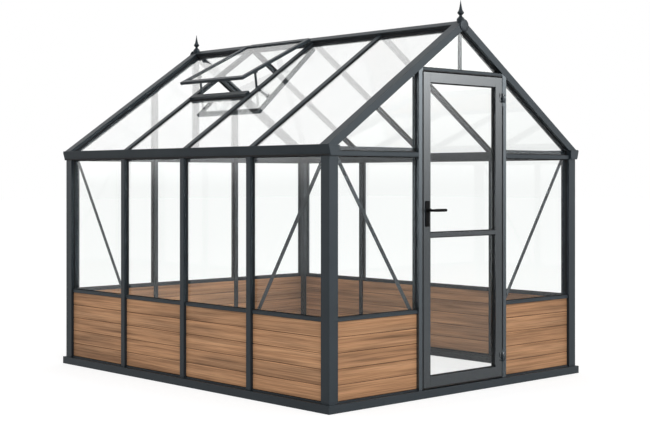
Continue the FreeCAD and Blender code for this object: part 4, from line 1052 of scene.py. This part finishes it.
@dataclass(frozen=True)
class Bays:
    """Glazing bays along the side walls and slopes, read from the bars between them."""

    bars: int = 3
    bar_width: float = 0.040
    vent: int = 2

    @property
    def pitch(self) -> float:
        """Distance from bar to bar."""
        low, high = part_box("left_wall_bars")
        return (high[1] - low[1] - self.bar_width) / (self.bars - 1)

    @property
    def clear(self) -> float:
        """Width between two bars."""
        return self.pitch - self.bar_width

    @property
    def middles(self) -> list[float]:
        """Middle of each bay, from the front."""
        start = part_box("left_wall_bars")[0][1] - self.clear / 2.0
        return [start + bay * self.pitch for bay in range(self.bars + 1)]

    @property
    def moves(self) -> dict[int, Point]:
        """How far each further bay is from the first one, by its number."""
        return {bay: (0.0, bay * self.pitch, 0.0) for bay in range(1, self.bars + 1)}


@dataclass
class RubberSet:
    """Rubber pieces of one kind."""

    finish: Material
    bays: Bays

    def keep(self, obj: Piece, name: str, body: Body = Body.FRAME) -> None:
        """Hand over the rubber of one place."""
        hand_over(obj, name, self.finish, body, Slot.HANDLE)

    @staticmethod
    def on_slope(down: float, depth: float) -> Pair:
        """Place of a line that runs along a roof slope.

        Args:
            down: Its distance from the ridge, down the slope.
            depth: Its depth under the slope's face.

        Returns:
            Its distance from the middle of the greenhouse and its height.
        """
        sine, cosine = math.sin(ROOF_PITCH), math.cos(ROOF_PITCH)
        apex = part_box("ridge_beam")[1][2]
        return (down * cosine - depth * sine, apex - down * sine - depth * cosine)


@dataclass
class Seals(RubberSet):
    """Rubber seals: black drip beads under the fascias that also serve as a painted shade line there, lines
    along the ridge, round the door and at its foot.
    """

    drip_proud: float = 0.0045
    drip_height: float = 0.009
    drip_corner: float = 0.003
    fascia_lean: float = 0.012
    end_gap: float = 0.004
    ridge_face: float = 0.040
    ridge_depth: float = 0.010
    ridge_width: float = 0.007
    door_width: float = 0.0065
    proud: float = 0.0008
    rounding: float = 0.00072
    hinge_clear: Pair = (0.215, 1.645)

    def build(self) -> None:
        """Make the seals of the eaves, the ridge and the door."""
        self.drip_beads_and_shade_lines()
        self.ridge()
        self.door()
        self.sweep()

    def drip_beads_and_shade_lines(self) -> None:
        """Make a black drip bead under one fascia, which also serves as a painted shade line, and its mirror
        image.
        """
        low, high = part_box("eaves_beam_left")
        middle = (low[0] + self.fascia_lean, (low[1] + high[1]) / 2.0, low[2] + self.drip_height / 2.0)
        size = (2.0 * self.drip_proud, high[1] - low[1] - 2.0 * self.end_gap, self.drip_height)
        left = bead(middle, size, Axis.Y, self.drip_corner)
        # The beads' black rubber paints a shade line along the foot of each fascia.
        self.keep(joined([left, mirrored(left, LEFT_TO_RIGHT)]), "eaves_drip_beads_and_shade_lines")

    def ridge(self) -> None:
        """Make a seal in every bay on both sides of the ridge, except where the vent hangs."""
        across, level = self.on_slope(self.ridge_face, self.ridge_depth)
        size = (2.0 * self.proud, self.bays.clear, self.ridge_width)
        first = bead((-across, self.bays.middles[0], level), size, Axis.Y, self.rounding, -ROOF_PITCH)
        other = mirrored(first, LEFT_TO_RIGHT)
        left = [copied(first, move) for bay, move in self.bays.moves.items() if bay != self.bays.vent]
        right = [copied(other, move) for move in self.bays.moves.values()]
        self.keep(joined([first, other, *left, *right]), "ridge_seals")

    def door(self) -> None:
        """Make the seals along the header and both jambs, the hinge side's between its hinges."""
        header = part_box("door_header")
        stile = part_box("door_hinge_stile")
        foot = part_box("door_jamb_left")[0][2]
        face = header[0][1]
        opening = header[1][0]
        top = stile[1][2] + opening - stile[1][0]
        thick = 2.0 * self.proud
        width = self.door_width
        edge = opening + width / 2.0
        low, high = self.hinge_clear
        over = ((0.0, face, top + width / 2.0), (2.0 * opening, thick, width))
        latch = ((-edge, face, (foot + top) / 2.0), (width, thick, top - foot))
        hinge = ((edge, face, (low + high) / 2.0), (width, thick, high - low))
        uprights = [bead(*place, Axis.Z, self.rounding) for place in (latch, hinge)]
        self.keep(joined([bead(*over, Axis.X, self.rounding), *uprights]), "door_frame_seals")

    def sweep(self) -> None:
        """Make the seal along the foot of the door."""
        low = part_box("door_latch_stile")[0]
        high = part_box("door_hinge_stile")[1]
        middle = ((low[0] + high[0]) / 2.0, low[1], low[2] + self.door_width / 2.0)
        size = (high[0] - low[0], 2.0 * self.proud, self.door_width)
        self.keep(bead(middle, size, Axis.X, self.rounding), "door_sweep", Body.DOOR)


@dataclass
class Gaskets(RubberSet):
    """Rubber gaskets between the panes and the bars that hold them."""

    width: float = 0.0055
    height: float = 0.004
    edge: float = 0.001
    setback: float = 0.0243
    rafter_depth: float = 0.044
    tie_lip: float = 0.024
    header_half: float = 0.343
    roof_top: float = 0.042
    roof_foot: float = 1.272
    vent_foot: float = 0.675
    door_levels: tuple[Pair, Pair] = ((0.114, 0.891), (0.915, 1.7544))

    def build(self) -> None:
        """Make the gaskets of every wall, both slopes and the door."""
        self.side_walls()
        self.front_wall()
        self.back_wall()
        self.slope("left_roof_gaskets", -1.0, self.bays.vent)
        self.slope("right_roof_gaskets", 1.0, None)
        self.door()

    @property
    def wall_levels(self) -> Pair:
        """Heights of the sill rails and the eaves, which the wall panes stand between."""
        return (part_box("left_wall_rails")[1][2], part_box("corner_posts")[1][2])

    @property
    def tie_top(self) -> float:
        """Height of the lip on the gables' tie bars."""
        return self.wall_levels[1] + self.tie_lip

    def underside(self, across: float) -> float:
        """Height of the rafters' lower face at a distance from the ridge line."""
        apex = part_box("ridge_beam")[1][2]
        return apex - across * math.tan(ROOF_PITCH) - self.rafter_depth / math.cos(ROOF_PITCH)

    def rim(self, pane: Piece, outward: Point) -> Piece:
        """Turn the flat face of a pane into the gasket round its edge.

        Args:
            pane: The face.
            outward: Direction away from the pane.

        Returns:
            The gasket.
        """
        edit(pane)
        bpy.ops.mesh.inset(thickness=self.width)
        bpy.ops.mesh.delete(type="FACE")
        bpy.ops.mesh.select_all(action="SELECT")
        extrude(tuple(self.height * part for part in outward))
        return rounded(settle(pane), self.edge)

    def side_walls(self) -> None:
        """Make the left wall's gaskets, one copied along the bays, and their mirror image."""
        sill, eave = self.wall_levels
        middle = (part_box("left_wall_glass")[0][0], self.bays.middles[0], (sill + eave) / 2.0)
        pane = flat(middle, (eave - sill, self.bays.clear), (0.0, -QUARTER_TURN, 0.0))
        first = self.rim(pane, (-1.0, 0.0, 0.0))
        left = joined([first, *(copied(first, move) for move in self.bays.moves.values())])
        right = mirrored(left, LEFT_TO_RIGHT)
        self.keep(left, "left_wall_gaskets")
        self.keep(right, "right_wall_gaskets")

    @staticmethod
    def upright(across: Pair, levels: Pair, face: float) -> Piece:
        """Flat face of a gable pane between two edges and two levels."""
        middle = (sum(across) / 2.0, face, sum(levels) / 2.0)
        return flat(middle, (across[1] - across[0], levels[1] - levels[0]), FACING_FRONT)

    def under_rafter(self, across: Pair, face: float) -> Piece:
        """Flat face of a pane that stands on a gable's tie, with its top along the rafter.

        Args:
            across: Its two edges, the higher one first.
            face: Its place along the greenhouse.

        Returns:
            The face.
        """
        top, low_top = (self.underside(edge) for edge in across)
        middle = (sum(across) / 2.0, (self.tie_top + top) / 2.0)
        obj = self.upright(across, (self.tie_top, top), face)
        edit(obj)
        pick(obj, Pick.CORNERS, lambda corner: corner.co.x > middle[0] and corner.co.z > middle[1])
        bpy.ops.transform.translate(value=(0.0, 0.0, low_top - top))
        return settle(obj)

    def gable_sides(self, face: float, outward: Point) -> list[Piece]:
        """Gaskets of the panes beside the middle of a gable, below and above its tie.

        Args:
            face: Outer face of the panes.
            outward: Direction out of the gable.

        Returns:
            The four gaskets.
        """
        across = (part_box("door_jamb_right")[1][0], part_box("eaves_beam_right")[0][0])
        panes = [self.upright(across, self.wall_levels, face), self.under_rafter(across, face)]
        rings = [self.rim(pane, outward) for pane in panes]
        return rings + [mirrored(ring, LEFT_TO_RIGHT) for ring in rings]

    def front_wall(self) -> None:
        """Make the gaskets beside the door and above it."""
        low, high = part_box("front_glass")
        face, peak = low[1], high[2]
        outward = (0.0, -1.0, 0.0)
        half = self.header_half
        tip = (self.underside(0.0) - peak) / math.tan(ROOF_PITCH)
        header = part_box("door_header")[1][2]
        sides = self.gable_sides(face, outward)
        top = self.upright((-half, half), (header, peak), face)
        edit(top)
        pick(top, Pick.CORNERS, lambda corner: corner.co.z > (header + peak) / 2.0)
        resize((tip / half, 1.0, 1.0), (0.0, face, peak))
        self.keep(joined([*sides, self.rim(settle(top), outward)]), "front_gaskets")

    def back_wall(self) -> None:
        """Make the gaskets of the back gable."""
        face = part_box("back_glass")[1][1]
        outward = (0.0, 1.0, 0.0)
        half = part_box("back_wall_bars")[1][0] - self.bays.bar_width
        sides = self.gable_sides(face, outward)
        low = self.rim(self.upright((-half, half), self.wall_levels, face), outward)
        right = self.rim(self.under_rafter((self.bays.bar_width / 2.0, half), face), outward)
        self.keep(joined([*sides, low, right, mirrored(right, LEFT_TO_RIGHT)]), "back_gaskets")

    def slope(self, name: str, side: float, vent_bay: int | None) -> None:
        """Make the gaskets of one roof slope, one copied along the bays.

        Args:
            name: Name of the piece.
            side: -1 for the left slope and 1 for the right one.
            vent_bay: Bay whose pane stops below the vent, if there is one.
        """
        first = self.slope_ring(side, self.roof_top, 0)
        rings = [first]
        for bay, move in self.bays.moves.items():
            if bay == vent_bay:
                rings.append(self.slope_ring(side, self.vent_foot, bay))
            else:
                rings.append(copied(first, move))
        self.keep(joined(rings), name)

    def slope_ring(self, side: float, top: float, bay: int) -> Piece:
        """Gasket of one roof pane.

        Args:
            side: -1 for the left slope and 1 for the right one.
            top: Distance of its upper edge down the slope.
            bay: Number of its bay.

        Returns:
            The gasket.
        """
        across, level = self.on_slope((top + self.roof_foot) / 2.0, self.setback)
        middle = (side * across, self.bays.middles[bay], level)
        pane = flat(middle, (self.roof_foot - top, self.bays.clear), (0.0, side * ROOF_PITCH, 0.0))
        return self.rim(pane, (side * math.sin(ROOF_PITCH), 0.0, math.cos(ROOF_PITCH)))

    def door(self) -> None:
        """Make the gaskets on both faces of the door's panes."""
        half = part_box("door_hinge_stile")[0][0]
        outer, inner = (corner[1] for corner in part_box("door_glass"))
        rings = []
        for levels in self.door_levels:
            ring = self.rim(self.upright((-half, half), levels, outer), (0.0, -1.0, 0.0))
            rings += [ring, mirrored(ring, FRONT_TO_BACK, (0.0, (outer + inner) / 2.0, 0.0))]
        self.keep(joined(rings), "door_gaskets", Body.DOOR)


@dataclass
class Screws:
    """Domed socket screws of the hinges, coated like the leaves that they hold."""

    finish: Material
    door_finish: Material
    sides: int = 12
    radius: float = 0.0042
    height: float = 0.0022
    dome: float = 0.00126
    socket_rim: float = 0.00105
    hinge_offset: float = 0.017
    hinge_spread: float = 0.017
    pin_length: float = 0.054
    leaf_thickness: float = 0.0025

    def build(self) -> None:
        """Make one screw and set its copies."""
        first = self.model()
        frame = self.set_out(first, self.hinge_offset)
        hand_over(frame, "hinge_frame_screws", self.finish, Body.FRAME, Slot.COAT)
        door = self.set_out(first, -self.hinge_offset)
        hand_over(door, "hinge_door_screws", self.door_finish, Body.DOOR, Slot.COAT)
        bpy.data.objects.remove(first)

    def model(self) -> Piece:
        """One screw head at the origin that faces the front, with a socket.

        Returns:
            The screw head.
        """
        obj = stud(ORIGIN, self.radius, self.height, self.sides)
        edit(obj)
        pick_front(obj)
        bpy.ops.mesh.bevel(offset=self.dome, segments=EDGE_STEPS, affect="EDGES")
        sink(obj, self.socket_rim, self.height / 2.0)
        return settle(obj)

    def set_out(self, first: Piece, offset: float) -> Piece:
        """Copy the screw to its places in one kind of hinge leaf.

        Args:
            first: Screw at the origin.
            offset: Distance of the places from the hinges' line.

        Returns:
            The joined copies.
        """
        low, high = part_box("hinge_pins")
        across = (low[0] + high[0]) / 2.0 + offset
        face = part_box("hinge_frame_leaves")[1][1] - self.leaf_thickness
        half = self.pin_length / 2.0
        steps = (-self.hinge_spread, self.hinge_spread)
        levels = [middle + step for middle in (low[2] + half, high[2] - half) for step in steps]
        return smoothed(joined([copied(first, (across, face, level)) for level in levels]))


@dataclass(frozen=True)
class Panel:
    """Soft glowing panel that shows in gloss alone, with cosines and heights of its edges."""

    towards: Point
    glow: float
    spread: Pair
    rise: Pair
    fade: Pair
    bend: float = 1.0

    def weight(self, graph: NodeGraph, direction: Socket) -> Socket:
        """Weight of the panel in one direction of the surroundings.

        Args:
            graph: Node tree of the sky.
            direction: Direction that is looked at.

        Returns:
            The weight.
        """
        height = graph.parts(direction)[Axis.Z]
        foot = graph.math("POWER", graph.spread(height, 0.0, 1.0, *self.rise), self.bend)
        head = graph.spread(height, 1.0, 0.0, *self.fade)
        near = graph.add("ShaderNodeVectorMath", direction, self.towards, operation="DOT_PRODUCT")
        spot = graph.spread(near.outputs["Value"], 0.0, 1.0, *self.spread)
        return graph.math("MULTIPLY", spot, graph.math("MULTIPLY", foot, head))


@dataclass(frozen=True)
class Softbox:
    """Soft square lamp that faces the greenhouse and shows nowhere itself."""

    name: str
    place: Point
    size: float
    power: float
    aim: Point = (0.0, 0.0, 1.2)

    def build(self) -> None:
        """Hang the lamp."""
        lamp = bpy.data.lights.new(self.name, "AREA")
        lamp.size = self.size
        lamp.energy = self.power
        obj = bpy.data.objects.new(self.name, lamp)
        bpy.context.scene.collection.objects.link(obj)
        obj.location = self.place
        sight = Vector(self.aim) - Vector(self.place)
        obj.rotation_euler = sight.to_track_quat("-Z", "Y").to_euler()
        obj.visible_camera = False
        obj.visible_transmission = False
        obj.visible_glossy = False


@dataclass
class Studio:
    """Floor, light and camera around the greenhouse."""

    camera_place: Point = (-5.645, -6.1785, 1.219)
    camera_yaw: float = math.radians(-42.82)
    camera_lens: float = 72.15
    camera_sensor: float = 36.0
    camera_shift: float = -0.0587
    floor_size: float = 120.0
    floor_drop: float = 0.0005
    floor_tone: float = 0.32
    floor_roughness: float = 0.9
    floor_glow: float = 0.34
    floor_white: Pair = (0.74, 0.815)
    floor_reach: Pair = (3.0, 8.0)
    sky_diffuse: float = 0.62
    sky_gloss: float = 0.98
    panels: tuple[Panel, ...] = (
        Panel((0.342, -0.940, 0.0), 11.5, (0.83, 0.91), (-0.009, 0.116), (0.25, 0.45), 2.0),
        Panel((-0.60, 0.80, 0.0), 2.0, (0.72, 0.92), (-0.006, 0.018), (0.06, 0.14)),
    )
    lamps: tuple[Softbox, ...] = (
        Softbox("key_softbox", (-5.0, -7.5, 6.5), 5.0, 420.0),
        Softbox("top_softbox", (0.5, 0.5, 7.5), 5.0, 200.0),
    )

    def build(self) -> None:
        """Set up everything around the greenhouse."""
        self.floor()
        self.sky()
        for lamp in self.lamps:
            lamp.build()
        self.camera()
        bpy.context.scene.view_settings.view_transform = "Standard"

    def floor(self) -> None:
        """Pale floor that keeps the shadow and is white to the eye."""
        deselect_all()
        bpy.ops.mesh.primitive_plane_add(size=self.floor_size, location=(0.0, 0.0, -self.floor_drop))
        ground = bpy.context.object
        ground.name = "studio_floor"
        graph = Surface("studio_floor")
        graph.feed(Base_Color=grey(self.floor_tone), Roughness=self.floor_roughness, Specular_IOR_Level=0.0)
        distance = graph.add("ShaderNodeVectorMath", graph.place, operation="LENGTH").outputs["Value"]
        white = graph.spread(distance, *self.floor_white, *self.floor_reach)
        extra = graph.math("SUBTRACT", white, self.floor_glow)
        strength = graph.math("MULTIPLY_ADD", self.seen(graph), extra, self.floor_glow)
        glow = graph.add("ShaderNodeEmission", Color=WHITE, Strength=strength)
        both = graph.add("ShaderNodeAddShader", graph.shader.outputs[0], glow.outputs[0])
        graph.give(both.outputs[0], graph.tree.nodes["Material Output"].inputs["Surface"])
        dress(ground, graph.material)

    @staticmethod
    def seen(graph: NodeGraph) -> Socket:
        """1 for what is seen straight or through glass, and 0 for other rays."""
        path = graph.add("ShaderNodeLightPath")
        return graph.math("MAXIMUM", path.outputs["Is Camera Ray"], path.outputs["Is Transmission Ray"])

    def sky(self) -> None:
        """White surroundings to the eye, a plain level of light on the object, a soft studio in its gloss."""
        world = bpy.data.worlds.new("studio_sky")
        bpy.context.scene.world = world
        world.use_nodes = True
        graph = NodeGraph(world.node_tree)
        background = graph.tree.nodes["Background"]
        background.inputs["Color"].default_value = WHITE
        direction = graph.add("ShaderNodeTexCoord").outputs["Generated"]
        gloss = self.sky_gloss
        for panel in self.panels:
            gloss = graph.math("MULTIPLY_ADD", panel.weight(graph, direction), panel.glow, gloss)
        plain = graph.spread(self.seen(graph), self.sky_diffuse, 1.0)
        glossy = graph.add("ShaderNodeLightPath").outputs["Is Glossy Ray"]
        change = graph.math("SUBTRACT", gloss, plain)
        graph.give(graph.math("MULTIPLY_ADD", glossy, change, plain), background.inputs["Strength"])

    def camera(self) -> None:
        """Camera at the photograph's viewing angle."""
        lens = bpy.data.cameras.new("camera")
        lens.lens = self.camera_lens
        lens.sensor_width = self.camera_sensor
        lens.shift_y = self.camera_shift
        eye = bpy.data.objects.new("camera", lens)
        bpy.context.scene.collection.objects.link(eye)
        eye.location = self.camera_place
        eye.rotation_euler = (QUARTER_TURN, 0.0, self.camera_yaw)
        bpy.context.scene.camera = eye


COATED = """plinth_left plinth_right plinth_front plinth_back plinth_corner_keys corner_posts left_wall_bars
right_wall_bars back_wall_bars door_header gable_tie_bars left_wall_rails right_wall_rails front_wall_rails
back_wall_rails corner_braces eaves_beam_left eaves_beam_right eaves_end_caps front_gable_rafters
back_gable_rafters left_roof_bars right_roof_bars ridge_beam ridge_end_caps finials vent_hinge_channel
vent_cill vent_stay_keepers hinge_frame_leaves vent_rails vent_stay_lugs vent_stay_front
vent_stay_back""".split()
DOOR_COATED = ["door_latch_stile", "door_hinge_stile", "door_rails", "hinge_door_leaves"]
JAMBS = ["door_jamb_left", "door_jamb_right"]
WALL_PANES = ["left_wall_glass", "right_wall_glass", "front_glass", "back_glass", "door_glass",
              "right_roof_glass", "vent_glass"]
SKY_PANES = ["left_roof_glass"]
SIDE_BOARDS = ["left_wall_boards", "right_wall_boards"]
GABLE_BOARDS = ["front_wall_boards", "back_wall_boards"]
BLACK_PIECES = ["handle_plates", "lever_handles"]
STEEL_PIECES = ["hinge_pins", "strike_plate", "latch_bolt", "latch_case", "spindle"]

COAT = PowderCoat("anthracite_powder_coat")
DOOR_COAT = PowderCoat("door_powder_coat", roughness=(0.19, 0.22), specular=1.0, relief_strength=0.01,
                       sheen_tint=(0.94, 0.98, 1.0, 1.0))
JAMB_COAT = PowderCoat("jamb_powder_coat", roughness=(0.24, 0.28), specular=1.0, relief_strength=0.02)
BLACK_COAT = SmallMetal("black_handle_coat", (0.0035, 0.0035, 0.0038, 1.0), (0.006, 0.006, 0.0065, 1.0),
                        (0.5, 0.6), specular=0.05)
ZINC_STEEL = SmallMetal("zinc_steel", grey(0.42), grey(0.58), (0.28, 0.42), metallic=1.0)
# Side-wall copy of the board finish with colours about 5 % lighter than the gable boards': painted light on
# the side walls.
SIDE_FINISH_PAINTED_LIGHT = BoardFinish("side_boards_painted_light", Axis.Y, pale=(0.605, 0.341, 0.183, 1.0),
                          middle=(0.463, 0.248, 0.129, 1.0), dark=(0.250, 0.134, 0.073, 1.0))
GABLE_FINISH = BoardFinish("gable_boards", Axis.X)
WALL_GLASS = ClearGlass("wall_glass")
ROOF_GLASS = ClearGlass("roof_glass", ior=1.5, coat=1.0, coat_ior=4.0)
GASKET_RUBBER = Rubber("gasket_rubber")


def main() -> None:
    """Load the frame, dress it, build the small pieces and set up the studio."""
    logging.basicConfig(level=logging.INFO)
    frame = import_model()
    coat = COAT.material()
    door_coat = DOOR_COAT.material()
    black = BLACK_COAT.material()
    rubber = GASKET_RUBBER.material()
    bays = Bays()
    Carried(COATED, coat).dress(frame)
    Carried(DOOR_COATED, door_coat).dress(frame)
    Carried(JAMBS, JAMB_COAT.material()).dress(frame)
    Carried(SIDE_BOARDS, SIDE_FINISH_PAINTED_LIGHT.material(), edge=0.0).dress(frame)
    Carried(GABLE_BOARDS, GABLE_FINISH.material(), edge=0.0).dress(frame)
    Carried(WALL_PANES, WALL_GLASS.material(), edge=0.0).dress(frame)
    Carried(SKY_PANES, ROOF_GLASS.material(), edge=0.0).dress(frame)
    Carried(BLACK_PIECES, black).dress(frame)
    Carried(STEEL_PIECES, ZINC_STEEL.material(), edge=0.0).dress(frame)
    Finials(coat).build()
    LeverSet(black).build()
    HandlePlates(black).build()
    Seals(rubber, bays).build()
    Gaskets(rubber, bays).build()
    Screws(coat, door_coat).build()
    RidgeCaps(coat).build()
    Studio().build()


if __name__ == "__main__":
    main()
